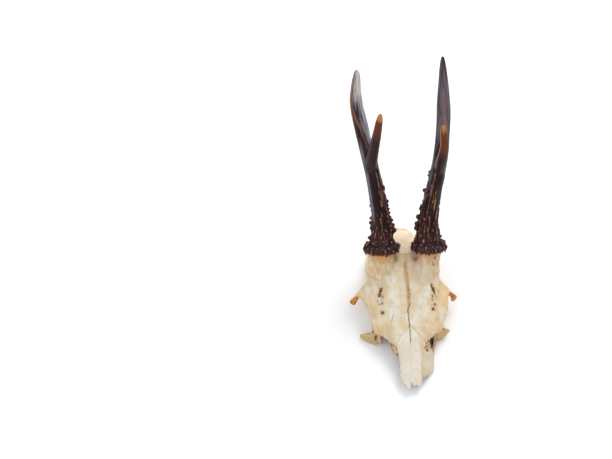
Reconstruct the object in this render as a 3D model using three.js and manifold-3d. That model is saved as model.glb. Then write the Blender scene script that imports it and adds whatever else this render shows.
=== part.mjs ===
// A roe buck's skull cap with its two antlers, lying on the plane along which it was sawn off.
// Millimetres, +Z up. The nose points to -Y, and the animal's left side is at +X.
// The bones are made as one whole first, and are then parted along their sutures by thin gaps.

import * as THREE from "three";
import { mergeVertices } from "three/addons/utils/BufferGeometryUtils.js";
import Module from "manifold-3d";

const wasm = await Module();
wasm.setup();

// ---------------------------------------------------------------- driving dimensions

const SEAM = 0.3; // gap between two pieces that meet
const RIGHT = -1; // the animal's right side is at -X
const LEFT = 1;
const CEILING = 90; // above everything that a plan cut goes through

// Lengths along the skull, from the bregma, where frontals and parietal meet, at y = 0
const NASION_Y = -57.7; // where frontals and nasals meet
const NOSE_Y = -112; // just past the tips of the nasals
const OCCIPUT_Y = 47; // hindmost point of the braincase
const LAMBDOID_Y = 33; // suture between parietal and occipital

// Heights above the sawn plane, and half widths
const BREGMA_Z = 43;
const TEMPORAL_TOP = 15; // suture between parietal and temporals
const CASE_HALF_WIDTH = 30;
const WAIST = 0.08; // share of its width that the braincase loses behind the eye sockets
const CASE_FRONT_Y = -24; // where the side walls of the braincase begin

// Bone thicknesses
const ROOF_THICK = 2.6;
const NASAL_THICK = 1.8;
const CASE_THICK = 3;
const FACE_THICK = 1.9;
const ORBIT_WALL_THICK = 2.2;

// Eye sockets: each is a ball that the side wall wraps around
const ORBIT = { x: 43, y: -38.5, z: 6, radius: 18.5 };

// Pedicles, burrs, and how far back the feet of the antlers lean from upright
const PEDICLE = {
  right: { rootX: 20.2, radius: 11, flare: 1.8 },
  left: { rootX: 18.6, radius: 9.7, flare: 3 },
};
const BURR_CENTRE = [20, 3.5, 51.5];
const BURR_RADIUS = 14.8;
const BURR_HEIGHT = 6.5;
const BURR_LEAN = THREE.MathUtils.degToRad(45);

// Antlers: the middle of the beam to its tip, and of the front tine, from its root in the beam
const ANTLERS = {
  right: {
    side: RIGHT,
    beam: [[19.2, 17, 66.1], [22.1, 28.7, 82.5], [25.3, 39.2, 99.5], [29.4, 49.6, 116.5], [35.9, 65, 142.5]],
    tip: [[40.4, 79, 165], [39.4, 93.4, 185.7]],
    tine: [[28.6, 45.5, 111.5], [27.2, 47.6, 131.5], [24.8, 50, 154.5], [22.2, 54.3, 179]],
    fork: 0.445,
    taper: [[0.75, 5.5], [0.85, 4.7], [0.95, 3], [1, 1.4]],
  },
  left: {
    side: LEFT,
    beam: [[19.6, 17, 66.1], [22.2, 28.7, 82.5], [25.6, 39.2, 99.5], [29, 49.6, 116.5], [31, 65, 142.5]],
    tip: [[30.8, 80.7, 167.5], [29.9, 99.4, 192.7]],
    tine: [[28, 44, 105.5], [29.2, 43.2, 125.5], [30.6, 44.8, 144.5], [28.2, 49.4, 168.5]],
    fork: 0.4,
    taper: [[0.75, 5.4], [0.84, 4.1], [0.94, 2.3], [1, 1]],
  },
};

// ---------------------------------------------------------------- helpers

// Solid of a closed geometry, whichever way its faces were wound.
function solid(geometry) {
  const bare = geometry.clone();
  bare.deleteAttribute("normal");
  bare.deleteAttribute("uv");
  const merged = mergeVertices(bare, 1e-4);
  const vertProperties = merged.attributes.position.array;
  const triVerts = new Uint32Array(merged.index.array);
  const made = new wasm.Manifold(new wasm.Mesh({ numProp: 3, vertProperties, triVerts }));
  if (made.volume() > 0) return made;
  for (let i = 0; i < triVerts.length; i += 3) {
    [triVerts[i + 1], triVerts[i + 2]] = [triVerts[i + 2], triVerts[i + 1]];
  }
  return new wasm.Manifold(new wasm.Mesh({ numProp: 3, vertProperties, triVerts }));
}

const join = (solids) => solids.reduce((whole, part) => whole.add(part));
const cut = (whole, cutters) => cutters.reduce((rest, cutter) => rest.subtract(cutter), whole);

// The largest piece of a solid: thin cuts can leave crumbs.
function largest(whole) {
  return whole.decompose().reduce((best, piece) => (piece.volume() > best.volume() ? piece : best));
}

// Moves every vertex of a geometry to place(x, y, z), which returns a Vector3.
function bend(geometry, place) {
  const positions = geometry.attributes.position;
  for (let i = 0; i < positions.count; i++) {
    const moved = place(positions.getX(i), positions.getY(i), positions.getZ(i));
    positions.setXYZ(i, moved.x, moved.y, moved.z);
  }
  return geometry;
}

// Smooth curve y(x) through a few [x, y] stations in rising x, flat beyond the ends.
function through(stations) {
  const last = stations.length - 1;
  const slope = (k) => {
    const a = stations[Math.max(k - 1, 0)];
    const b = stations[Math.min(k + 1, last)];
    return (b[1] - a[1]) / (b[0] - a[0]);
  };
  return (x) => {
    if (x <= stations[0][0]) return stations[0][1];
    if (x >= stations[last][0]) return stations[last][1];
    const i = stations.findIndex((station) => station[0] > x) - 1;
    const [x0, y0] = stations[i];
    const [x1, y1] = stations[i + 1];
    const span = x1 - x0;
    const t = (x - x0) / span;
    const t2 = t * t;
    const t3 = t2 * t;
    const ends = y0 * (2 * t3 - 3 * t2 + 1) + y1 * (3 * t2 - 2 * t3);
    return ends + span * (slope(i) * (t3 - 2 * t2 + t) + slope(i + 1) * (t3 - t2));
  };
}

// Sheet of bone: its outer face is surface(u, v), with u and v from 0 to 1, and it is thick(u, v) thick.
function sheet({ surface, thick, across, along }) {
  const step = 1e-3;
  const inner = (u, v) => {
    const a = Math.min(u, 1 - step);
    const b = Math.min(v, 1 - step);
    const p = surface(a, b);
    const du = surface(a + step, b).sub(p);
    const dv = surface(a, b + step).sub(p);
    return surface(u, v).addScaledVector(du.cross(dv).normalize(), -thick(u, v));
  };
  const box = new THREE.BoxGeometry(1, 1, 1, across, along, 1);
  return solid(bend(box, (x, y, z) => (z > 0 ? surface(x + 0.5, y + 0.5) : inner(x + 0.5, y + 0.5))));
}

// Round or flattened limb along a curve, between two fractions of its length. size(t, angle) gives its
// half width, across `front`, and its half depth, along it.
function limb({ curve, size, sides, steps, from = 0, to = 1, front = [0, -1, 0] }) {
  const facing = new THREE.Vector3(...front);
  return solid(
    bend(new THREE.CylinderGeometry(1, 1, 1, sides, steps), (x, y, z) => {
      const t = THREE.MathUtils.lerp(from, to, y + 0.5);
      const along = curve.getTangentAt(t);
      const wide = along.clone().cross(facing).normalize();
      const deep = wide.clone().cross(along).normalize();
      const [halfWidth, halfDepth] = size(t, Math.atan2(z, x));
      return curve.getPointAt(t).addScaledVector(wide, x * halfWidth).addScaledVector(deep, z * halfDepth);
    }),
  );
}

const curveThrough = (points) => new THREE.CatmullRomCurve3(points.map((p) => new THREE.Vector3(...p)));
const mirrored = (points, side) => points.map(([x, ...rest]) => [x * side, ...rest]);

// Upright prism over a plan outline of [x, y] points.
function prism(outline, low = -20, high = CEILING) {
  const shape = new THREE.Shape(outline.map(([x, y]) => new THREE.Vector2(x, y)));
  const geometry = new THREE.ExtrudeGeometry(shape, { depth: high - low, bevelEnabled: false });
  return solid(geometry.translate(0, 0, low));
}

// Flat plate: an outline of [along, up] points in an upright plane that leans back, turned to its place.
function plate({ outline, thick, turn, lean, place }) {
  const shape = new THREE.Shape(outline.map(([x, y]) => new THREE.Vector2(x, y)));
  const geometry = new THREE.ExtrudeGeometry(shape, { depth: thick, bevelEnabled: false });
  geometry.translate(0, 0, -thick / 2).rotateX(Math.PI / 2 - lean);
  return solid(geometry.rotateZ(turn).translate(...place));
}

// Block between two corners.
function block([x0, y0, z0], [x1, y1, z1]) {
  const box = new THREE.BoxGeometry(x1 - x0, y1 - y0, z1 - z0);
  return solid(box.translate((x0 + x1) / 2, (y0 + y1) / 2, (z0 + z1) / 2));
}

const ball = (x, y, z, radius) => solid(new THREE.SphereGeometry(radius, 14, 10).translate(x, y, z));

// Toothed plan line from one point to another: its teeth stand out to both sides.
function toothed([ax, ay], [bx, by], teeth, size) {
  const length = Math.hypot(bx - ax, by - ay);
  return Array.from({ length: 2 * teeth + 1 }, (_, i) => {
    const t = i / (2 * teeth);
    const out = i === 0 || i === 2 * teeth ? 0 : size * (i % 2 ? 1 : -1);
    return [ax + (bx - ax) * t - ((by - ay) / length) * out, ay + (by - ay) * t + ((bx - ax) / length) * out];
  });
}

// ---------------------------------------------------------------- form of the roof and braincase

// Height of the midline, from the tip of the nose to the bregma
const crest = through([
  [NOSE_Y, 6.5],
  [-85, 15.5],
  [NASION_Y, 24.2],
  [-30, 35],
  [-8, 42],
  [0, BREGMA_Z],
]);

// How far the roof falls at 30 mm from the midline: the nose is a steep vault, the brow nearly flat
const fall = through([
  [-110, 34],
  [-84, 34],
  [-72, 22],
  [-60, 10],
  [-40, 8],
  [-15, 9],
  [0, 10],
]);
const FALL_POWER = 2.3;
const roofHeight = (x, y) => crest(y) - fall(y) * Math.pow(Math.abs(x) / 30, FALL_POWER);

const backness = (y) => Math.max(y, 0) / OCCIPUT_Y;
const waist = (y) => 1 - WAIST * THREE.MathUtils.smoothstep(-y, -14, 6);
const caseWidth = (y) => CASE_HALF_WIDTH * waist(y) * Math.pow(1 - Math.pow(backness(y), 2), 0.6);
const caseHeight = (y) => crest(y) * Math.pow(1 - Math.pow(backness(y), 2.3), 0.5);
const archPower = through([
  [CASE_FRONT_Y, 0.5],
  [0, 0.6],
  [25, 0.9],
  [OCCIPUT_Y, 1],
]);

// The braincase as a filled volume, arched in section and shrinking to the occiput. `inset` shrinks it
// for the hollow inside, and `front` is the y of its flat front end.
function caseVolume({ inset, front, around, along }) {
  const DIP = 8; // depth below the sawn plane, which trims it
  const NARROWEST = 0.5;
  const rings = new THREE.SphereGeometry(1, around, along).rotateX(Math.PI / 2);
  return solid(
    bend(rings, (x, y, z) => {
      const ring = Math.hypot(x, z);
      const place = y > 0 ? y * OCCIPUT_Y : -y * front;
      const reach = y > 0 ? y * (OCCIPUT_Y - inset) : place;
      if (ring < 1e-6) return new THREE.Vector3(0, reach, 0);
      const power = archPower(place);
      const side = Math.sign(x) * Math.pow(Math.abs(x) / ring, power);
      const height = Math.max(caseHeight(place) - inset, NARROWEST);
      const up = z > 0 ? Math.pow(z / ring, power) * height : (z / ring) * DIP;
      return new THREE.Vector3(side * Math.max(caseWidth(place) - inset, NARROWEST), reach, up);
    }),
  );
}

// Slab that follows the roof, from `top` below its outer face down to a level floor.
function underRoof(top, floor) {
  const box = new THREE.BoxGeometry(80, 100, 1, 8, 10, 1).translate(0, -48, 0);
  return solid(bend(box, (x, y, z) => new THREE.Vector3(x, y, z > 0 ? roofHeight(x, y) - top : floor)));
}

// ---------------------------------------------------------------- plan outlines, as [|x|, y]

// Edge of the brow above each eye socket, from the temple forward over the root of the broken bar
const BROW_EDGE = {
  right: [
    [32, -10],
    [31.2, -17],
    [37.4, -21.5],
    [39, -25.2],
    [37.4, -27.5],
    [35.1, -30.9],
    [33.5, -34.3],
    [32.3, -38.5],
    [31, -46],
    [29.4, -53.2],
    [28.6, -57.2],
  ],
  left: [
    [29.5, -10],
    [30.8, -17],
    [36, -22],
    [37.6, -26],
    [36.6, -28.9],
    [35.9, -32.2],
    [35.5, -37.3],
    [34.5, -41],
    [31.9, -49],
    [30.4, -54.8],
    [29.8, -56.4],
  ],
};
// Broken front edge of each frontal, in to the corner of the nasal
const FRONT_EDGE = {
  right: [[21.2, -61.7], [15.7, -67], [11.7, -71.2]],
  left: [[23.3, -61.1], [17.7, -65.7], [14.8, -69.6]],
};
// Side edge of each nasal, forward to its broken end, and that end, in to the midline
const NASAL_EDGE = {
  right: [[10.3, -73], [9.1, -77.6], [8.2, -84.7], [8.1, -92]],
  left: [[12.2, -75.6], [11.2, -81.6], [10.6, -89.7], [10.2, -96]],
};
const NASAL_END = {
  right: [[8.1, -99.7], [6, -101.4], [5.2, -103.4], [4.6, -102], [3.4, -105.2], [1.5, -108.3]],
  left: [[10, -100.6], [9.2, -103], [7.6, -105.6], [6.1, -104.4], [3.4, -104.2]],
};
const CENTRE_END = [0.1, -105.9];

// The suture between left and right wanders a little to the left of the middle.
const MIDLINE = [
  [0, 9],
  [0.3, -8],
  [1.1, -22],
  [1.4, -45],
  [1.6, NASION_Y],
  [1.6, -71],
  [0.9, -88],
  [0.1, -108],
  [0, -120],
];
const midlineGap = prism([
  ...MIDLINE.map(([x, y]) => [x - SEAM / 2, y]),
  ...MIDLINE.map(([x, y]) => [x + SEAM / 2, y]).reverse(),
]);
const sideOf = (side) => prism([...MIDLINE, [90 * side, -120], [90 * side, 60], [0, 60]]);

// Corner where frontal, nasal and open edge meet, on each side
const NASAL_CORNER = { right: [-11.6, -70.8], left: [14.4, -69.4] };

// Region of one nasal, in front of its toothed suture with the frontal; `gap` widens it.
function nasalRegion(name, gap = 0) {
  const side = name === "left" ? LEFT : RIGHT;
  const [x, y] = NASAL_CORNER[name];
  const suture = toothed([1.6, NASION_Y + gap], [x, y + gap], 4, 0.3);
  const sideEdge = [[x + (1 + gap) * side, y - 1], [20 * side, -82], [20 * side, -120]];
  return prism([...suture, ...sideEdge, [0.1, -120], [0.1, -108]]);
}

// Region behind the coronal suture, which runs from the bregma out behind the feet of the pedicles
const CORONAL = [...toothed([0, 1.5], [8, 3.5], 3, 0.5), [12, 12], [20, 17], [29, 15], [40, 10]];
const behindCoronal = (gap = 0) => {
  const half = [...CORONAL.map(([x, y]) => [x, y - gap]), [70, 10]];
  return prism([...half, [70, 90], [-70, 90], ...mirrored(half, RIGHT).slice(1).reverse()]);
};

// Region of one temporal, low on the side of the braincase
const temporalRegion = (side, gap = 0) => {
  const [inner, outer] = [12 * side, 60 * side];
  const low = [Math.min(inner, outer), -9 - gap, -5];
  const high = [Math.max(inner, outer), LAMBDOID_Y + gap, TEMPORAL_TOP + gap];
  return block(low, high);
};

const behindLambdoid = block([-60, LAMBDOID_Y, -20], [60, 90, CEILING]);

// ---------------------------------------------------------------- the whole cap

const ORBIT_WALL_REACH = 33.5; // half width out to which the wall of the eye socket comes

function orbitWall(side, browEdge) {
  const shell = ball(ORBIT.x * side, ORBIT.y, ORBIT.z, ORBIT.radius + ORBIT_WALL_THICK);
  const rim = browEdge.slice(1).map(([x, y]) => [Math.min(x, ORBIT_WALL_REACH), y]);
  const reach = prism(mirrored([[10, -15], [31, -15], ...rim, [10, -60]], side));
  return shell.intersect(underRoof(ROOF_THICK / 2, 0)).intersect(reach);
}

const orbitHollow = (side) =>
  ball(ORBIT.x * side, ORBIT.y, ORBIT.z, ORBIT.radius).intersect(underRoof(ROOF_THICK, -30));

// Half width of the broken bar behind the eye: it narrows to a neck and has a thicker end.
const stumpHalfWidth = through([
  [0, 7],
  [0.4, 4.4],
  [0.76, 2.5],
  [0.9, 3],
  [1, 2.6],
]);

// Broken stump of the bar behind the eye: a flattened bar with a blunt end.
function postorbitalStump(side, middle, tip) {
  const curve = curveThrough(mirrored([[25, -17, 31.5], middle, tip], side));
  const size = (t) => [stumpHalfWidth(t), 3.1 - 0.5 * t];
  return limb({ curve, size, sides: 10, steps: 6, front: [0.7 * side, -0.1, 0.7] });
}

// Point on the middle line of an antler's foot, `rise` above the middle of its burr.
function footPoint(rise) {
  const [x, y, z] = BURR_CENTRE;
  return [x, y + rise * Math.sin(BURR_LEAN), z + rise * Math.cos(BURR_LEAN)];
}

function pedicle(side, { rootX, radius, flare }) {
  const middleX = (rootX + BURR_CENTRE[0]) / 2;
  const curve = curveThrough(mirrored([[rootX, -8, 31], [middleX, -3.6, 40.4], footPoint(0)], side));
  const size = (t) => {
    const flared = radius + flare * Math.pow(1 - t, 2.5);
    return [flared, flared];
  };
  return limb({ curve, size, sides: 16, steps: 5 });
}

// The space that a burr takes, which keeps the bone under it clear.
function burrRoom(side) {
  const foot = footPoint(-BURR_HEIGHT / 2 - SEAM);
  const line = curveThrough(mirrored([foot, footPoint(4), footPoint(12)], side));
  const radius = BURR_RADIUS * 1.04 + SEAM;
  return limb({ curve: line, size: () => [radius, radius], sides: 20, steps: 2 });
}

// Frontals and nasals as one sheet, which narrows to the nose.
function roof() {
  const halfWidth = (y) => 40 - 24 * THREE.MathUtils.smoothstep(-y, 60, 82);
  const place = (v) => THREE.MathUtils.lerp(NOSE_Y, 3, v);
  const surface = (u, v) => {
    const x = (2 * u - 1) * halfWidth(place(v));
    return new THREE.Vector3(x, place(v), roofHeight(x, place(v)));
  };
  const thick = (u, v) => {
    const brow = THREE.MathUtils.smoothstep(place(v), -76, -60);
    return THREE.MathUtils.lerp(NASAL_THICK, ROOF_THICK, brow);
  };
  const edge = (name) =>
    [[30, 3]].concat(BROW_EDGE[name], FRONT_EDGE[name], NASAL_EDGE[name], NASAL_END[name]);
  const outline = [...edge("left"), CENTRE_END, ...mirrored(edge("right"), RIGHT).reverse()];
  return sheet({ surface, thick, across: 12, along: 18 }).intersect(prism(outline));
}

function wholeCap() {
  const braincase = caseVolume({ inset: 0, front: CASE_FRONT_Y, around: 24, along: 15 });
  const hollow = caseVolume({ inset: CASE_THICK, front: CASE_FRONT_Y - 0.5, around: 20, along: 13 });
  const stumps = [
    postorbitalStump(RIGHT, [35, -20.5, 24.5], [45.2, -26.6, 12.6]),
    postorbitalStump(LEFT, [33.8, -22, 23.8], [41, -25.4, 13]),
  ];
  const walls = [orbitWall(RIGHT, BROW_EDGE.right), orbitWall(LEFT, BROW_EDGE.left)];
  const pedicles = [pedicle(RIGHT, PEDICLE.right), pedicle(LEFT, PEDICLE.left)];
  const filled = join([roof(), braincase, ...walls, ...stumps, ...pedicles]);
  const open = cut(filled, [hollow, orbitHollow(RIGHT), orbitHollow(LEFT), burrRoom(RIGHT), burrRoom(LEFT)]);
  return open.intersect(block([-70, -130, 0], [70, 70, CEILING]));
}

const cap = wholeCap();

function frontal(name, side) {
  const others = [nasalRegion(name, SEAM), behindCoronal(SEAM), temporalRegion(side, SEAM), midlineGap];
  return largest(cut(cap.intersect(sideOf(side)), others));
}
function nasal(name, side) {
  const both = cap.intersect(nasalRegion(name)).intersect(sideOf(side));
  return largest(both.subtract(midlineGap));
}
const temporal = (side) => largest(cap.intersect(temporalRegion(side)));
const occipital = largest(cap.intersect(behindLambdoid));
const parietal = largest(
  cut(cap.intersect(behindCoronal()), [
    temporalRegion(LEFT, SEAM),
    temporalRegion(RIGHT, SEAM),
    block([-60, LAMBDOID_Y - SEAM, -20], [60, 90, CEILING]),
  ]),
);

// ---------------------------------------------------------------- face

// Half width of the upper jaw at the sawn plane, and of the edges of nasal and frontal that it hangs from
const jawHalfWidth = through([
  [-100, 12.6],
  [-95, 17],
  [-90.5, 19.8],
  [-86, 20.9],
  [-70, 22.4],
  [-60, 24.4],
]);
const rimHalfWidth = {
  right: through([...FRONT_EDGE.right, ...NASAL_EDGE.right].reverse().map(([x, y]) => [y, x])),
  left: through([...FRONT_EDGE.left, ...NASAL_EDGE.left].reverse().map(([x, y]) => [y, x])),
};

// Side wall of the upper jaw, from the edge of the nasal down to the sawn plane, bulging outwards
function jawWall(name, side, backY, frontY) {
  const surface = (u, v) => {
    const y = THREE.MathUtils.lerp(frontY, backY, v);
    const angle = ((side === LEFT ? u : 1 - u) * Math.PI) / 2;
    const top = rimHalfWidth[name](y) + 2 * SEAM;
    const out = top + (Math.max(jawHalfWidth(y), top + 0.5) - top) * Math.sin(angle);
    return new THREE.Vector3(out * side, y, (roofHeight(top, y) - SEAM) * Math.cos(angle));
  };
  return sheet({ surface, thick: () => FACE_THICK, across: 8, along: 16 });
}

// The gap in front of the left eye socket, between frontal, nasal, jaw and lacrimal
const GAP = [[17, -65.6], [22.4, -60], [21.7, -66.4], [20, -72.6], [18.8, -70]];

// Plan of the left jaw: its broken front edge steps back to the side.
const LEFT_JAW = [
  [9, -58],
  [40, -58],
  [40, -86],
  [20.4, -89.6],
  [18, -91.2],
  [14.7, -94.4],
  [12.4, -96.4],
  [9, -99.2],
];
const RIGHT_JAW = [[-9, -70.2], [-13.6, -71.2], [-13.2, -74.4], [-11.4, -78], [-9, -78]];

const aboveFloor = block([-80, -140, 0], [80, 90, CEILING]);
const LACRIMAL_Y = -60.2; // suture between jaw and lacrimal on the left

const maxillaLeft = largest(
  cut(jawWall("left", LEFT, -58.4, -100).intersect(prism(LEFT_JAW)).intersect(aboveFloor), [
    prism(GAP),
    block([10, LACRIMAL_Y - SEAM, -5], [60, -40, CEILING]),
    cap,
  ]),
);
const maxillaRight = largest(
  jawWall("right", RIGHT, -70, -81)
    .intersect(prism(RIGHT_JAW))
    .intersect(block([-30, -90, 7], [0, -60, CEILING]))
    .subtract(cap),
);

// Lacrimals: what is left of each is a plate in front of the eye socket, as [along, up] points.
const RIGHT_LACRIMAL = [
  [-13.9, 3.4],
  [-12.6, 0.6],
  [-7, -1.4],
  [0, -0.6],
  [2.2, 1.6],
  [2.4, 5],
  [4.2, 3],
  [6.4, 4.4],
  [4.2, 12],
  [-4, 14.6],
  [-7.4, 9.4],
  [-10.6, 5.8],
];
const LEFT_LACRIMAL = [
  [10.6, 4.4],
  [8, 1.6],
  [3, -0.4],
  [-3.4, -2.4],
  [-4.2, 3],
  [-2.6, 9],
  [3.6, 13.4],
  [7, 8.4],
];
const lacrimalRight = largest(
  plate({
    outline: RIGHT_LACRIMAL,
    thick: FACE_THICK,
    turn: THREE.MathUtils.degToRad(-27),
    lean: THREE.MathUtils.degToRad(13),
    place: [-28, -61.2, 1.4],
  })
    .intersect(underRoof(ROOF_THICK + SEAM, 0))
    .subtract(cap),
);
const lacrimalLeft = largest(
  cut(
    plate({
      outline: LEFT_LACRIMAL,
      thick: FACE_THICK,
      turn: THREE.MathUtils.degToRad(30),
      lean: THREE.MathUtils.degToRad(13),
      place: [27.4, -59.4, 2.4],
    }).intersect(underRoof(ROOF_THICK + SEAM, 0)),
    [cap, block([10, -80, -5], [60, LACRIMAL_Y, CEILING])],
  ),
);

// Ethmoid: the wall between the two sides of the nose, the plate that closes the braincase in front,
// and the thin scrolls on each side, as two smooth masses.
function ethmoid() {
  const septum = block([-0.9, -96, 0], [0.9, -24.8, 60]);
  const sieve = block([-19, -26.6, 0], [19, -24.8, 60]);
  const scrolls = [RIGHT, LEFT].map((side) =>
    solid(new THREE.SphereGeometry(1, 12, 8).scale(8, 27, 11).translate(8.6 * side, -50, 8)),
  );
  const shelf = solid(new THREE.SphereGeometry(1, 10, 8).scale(5.6, 13, 6.5).translate(14.2, -61.5, 5.5));
  const room = underRoof(ROOF_THICK + 2 * SEAM, 0).intersect(block([-21, -98, 0], [21, -20, CEILING]));
  return largest(join([septum, sieve, ...scrolls, shelf]).intersect(room));
}

// ---------------------------------------------------------------- antlers

// Radius of a beam at fractions of its length, up to where each antler tapers in its own way
const BEAM_TAPER = [
  [0, 10.2],
  [0.06, 9.3],
  [0.14, 8.4],
  [0.22, 7.3],
  [0.35, 6.6],
  [0.6, 5.9],
];
const TINE_TAPER = through([
  [0, 5.4],
  [0.3, 4.6],
  [0.6, 3.7],
  [0.85, 3],
  [0.95, 2.3],
  [1, 1.2],
]);

// Ribbed and beaded low down, smooth above the fork
const ROUGHNESS = 0.06;
const rough = (t, angle) => 1 + ROUGHNESS * Math.max(0, 1 - 2.4 * t) * Math.sin(5 * angle + 40 * t);

function antler({ side, beam, tip, tine, fork, taper }) {
  const beamRadius = through([...BEAM_TAPER, ...taper]);
  const [bottom, top] = [footPoint(-BURR_HEIGHT / 2), footPoint(BURR_HEIGHT / 2)];
  const burrLine = curveThrough(mirrored([bottom, BURR_CENTRE, top], side));
  const beamFoot = [footPoint(BURR_HEIGHT / 2 + SEAM), footPoint(BURR_HEIGHT / 2 + 4)];
  const beamLine = curveThrough(mirrored([...beamFoot, ...beam, ...tip], side));
  const tineLine = curveThrough(mirrored(tine, side));
  const burrSize = (t, angle) => {
    const crown = BURR_RADIUS - 3.4 * Math.pow(Math.abs(2 * t - 0.8), 1.6);
    const radius = crown * (1 + 0.035 * Math.sin(10 * angle));
    return [radius, radius];
  };
  const beamSize = (grow) => (t, angle) => {
    const radius = beamRadius(t) * rough(t, angle) + grow;
    return [radius, radius];
  };
  const tineSize = (t) => [TINE_TAPER(t), TINE_TAPER(t) * 1.06];
  const forkGap = SEAM / beamLine.getLength();
  const thickBeam = limb({ curve: beamLine, size: beamSize(SEAM), sides: 16, steps: 28, from: 0, to: 0.7 });
  return {
    burr: limb({ curve: burrLine, size: burrSize, sides: 25, steps: 4 }),
    beam: limb({ curve: beamLine, size: beamSize(0), sides: 15, steps: 15, from: 0, to: fork }),
    top_tine: limb({ curve: beamLine, size: beamSize(0), sides: 12, steps: 11, from: fork + forkGap, to: 1 }),
    front_tine: largest(limb({ curve: tineLine, size: tineSize, sides: 12, steps: 8 }).subtract(thickBeam)),
  };
}

// ---------------------------------------------------------------- natural lopsidedness

// The braincase strays to the right behind, and leans that way at its foot.
function sway(y, z) {
  const behind = 3.4 * THREE.MathUtils.smoothstep(y, -4, OCCIPUT_Y + 6);
  const lean = 0.08 * Math.max(BREGMA_Z - z, 0) * THREE.MathUtils.smoothstep(y, -26, -6);
  return -behind - lean;
}

// ---------------------------------------------------------------- materials and scene graph

const BONE = { color: 0xe4d7be, roughness: 0.62, metalness: 0 };
const STAINED_BONE = { color: 0xd2a873, roughness: 0.66, metalness: 0 };
const HORN = { color: 0x33221c, roughness: 0.45, metalness: 0 };
const POLISHED_HORN = { color: 0x6b4a33, roughness: 0.35, metalness: 0 };

function named(name, part, finish, shift = () => 0) {
  const { vertProperties, triVerts } = part.getMesh();
  const geometry = new THREE.BufferGeometry();
  geometry.setAttribute("position", new THREE.BufferAttribute(new Float32Array(vertProperties), 3));
  geometry.setIndex(new THREE.BufferAttribute(new Uint32Array(triVerts), 1));
  bend(geometry, (x, y, z) => new THREE.Vector3(x + shift(y, z), y, z));
  const mesh = new THREE.Mesh(geometry, new THREE.MeshStandardMaterial(finish));
  mesh.name = name;
  return mesh;
}

const BONES = {
  frontal_right: frontal("right", RIGHT),
  frontal_left: frontal("left", LEFT),
  nasal_right: nasal("right", RIGHT),
  nasal_left: nasal("left", LEFT),
  parietal,
  occipital,
  temporal_right: temporal(RIGHT),
  temporal_left: temporal(LEFT),
};
const FACE_BONES = {
  lacrimal_right: lacrimalRight,
  lacrimal_left: lacrimalLeft,
  maxilla_right: maxillaRight,
  maxilla_left: maxillaLeft,
  ethmoid: ethmoid(),
};

const skull = new THREE.Group();
for (const [name, part] of Object.entries(BONES)) skull.add(named(name, part, BONE, sway));
for (const [name, part] of Object.entries(FACE_BONES)) skull.add(named(name, part, STAINED_BONE, sway));
for (const [name, form] of Object.entries(ANTLERS)) {
  for (const [piece, part] of Object.entries(antler(form))) {
    const finish = piece.endsWith("tine") ? POLISHED_HORN : HORN;
    skull.add(named(`antler_${name}_${piece}`, part, finish));
  }
}

// The origin is on the sawn plane, under the middle of the whole.
const bounds = new THREE.Box3().setFromObject(skull);
const middle = bounds.getCenter(new THREE.Vector3());
skull.position.set(-middle.x, -middle.y, -bounds.min.z);

export default skull;
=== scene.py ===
"""Looks of a roe buck's skull cap with its two antlers, lying on its saw cut.

The places of bones and antlers are in millimetres from the bregma: x to the animal's left, y to its
back, and z up from the saw cut. `Skin` turns them into the frame's metres.
"""

import logging
import math
from dataclasses import dataclass, field
from enum import Enum

import bmesh
import bpy
import numpy as np
from mathutils import Matrix, Vector


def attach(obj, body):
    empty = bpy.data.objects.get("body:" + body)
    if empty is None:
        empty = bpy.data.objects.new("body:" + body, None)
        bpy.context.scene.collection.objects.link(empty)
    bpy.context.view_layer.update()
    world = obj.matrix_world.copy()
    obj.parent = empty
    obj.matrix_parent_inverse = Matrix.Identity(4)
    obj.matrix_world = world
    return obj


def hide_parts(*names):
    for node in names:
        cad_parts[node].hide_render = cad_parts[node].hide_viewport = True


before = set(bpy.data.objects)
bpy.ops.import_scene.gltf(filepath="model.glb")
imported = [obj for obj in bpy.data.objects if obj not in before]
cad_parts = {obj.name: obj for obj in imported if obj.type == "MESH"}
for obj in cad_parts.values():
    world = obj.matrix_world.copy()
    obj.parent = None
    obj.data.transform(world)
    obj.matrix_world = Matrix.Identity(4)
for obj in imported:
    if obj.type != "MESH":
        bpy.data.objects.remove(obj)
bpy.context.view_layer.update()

LOG = logging.getLogger("skull")

MM = 0.001
BREGMA = np.array((2.073, 4.048, 0.0))  # its place in the frame, in mm, at the height of the saw cut

# Short names for types
Places = np.ndarray
Masks = dict[str, np.ndarray]
Pair = tuple[float, float]
Triple = tuple[float, float, float]
Shade = tuple[int, int, int]
Piece = bpy.types.Object
Material = bpy.types.Material
Tree = bpy.types.NodeTree
Node = bpy.types.Node
Socket = bpy.types.NodeSocket
Shell = bmesh.types.BMesh


class Side(Enum):
    """The animal's two sides, by the sign of x."""

    RIGHT = -1
    LEFT = 1


# ---------------------------------------------------------------- number helpers


def smoothstep(low: float, high: float, values: np.ndarray) -> np.ndarray:
    """Rises smoothly from 0 at `low` to 1 at `high`.

    Args:
        low: value at which the result is 0.
        high: value at which the result is 1; it may be below `low`.
        values: what is looked up.

    Returns:
        An array as long as `values`.
    """
    t = np.clip((values - low) / (high - low), 0, 1)
    return t * t * (3 - 2 * t)


def bump(distance: np.ndarray, reach: float) -> np.ndarray:
    """Soft hill: 1 at no distance, 0 from `reach` on."""
    return smoothstep(reach, 0, distance)


def waves(places: Places, size: float, seed: int, count: int = 14) -> np.ndarray:
    """Smooth noise out of plane waves in random directions.

    Args:
        places: points, one in each row.
        size: length of a wave, in the points' own unit.
        seed: number that picks the directions.
        count: number of waves.

    Returns:
        One value for each point, mostly between -1 and 1.
    """
    chance = np.random.default_rng(seed)
    directions = unit(chance.normal(size=(count, 3)))
    pace = chance.uniform(0.7, 1.45, count) * 2 * math.pi / size
    phase = chance.uniform(0, 2 * math.pi, count)
    return np.sin(places @ (directions * pace[:, None]).T + phase).sum(axis=1) / math.sqrt(count)


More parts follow.
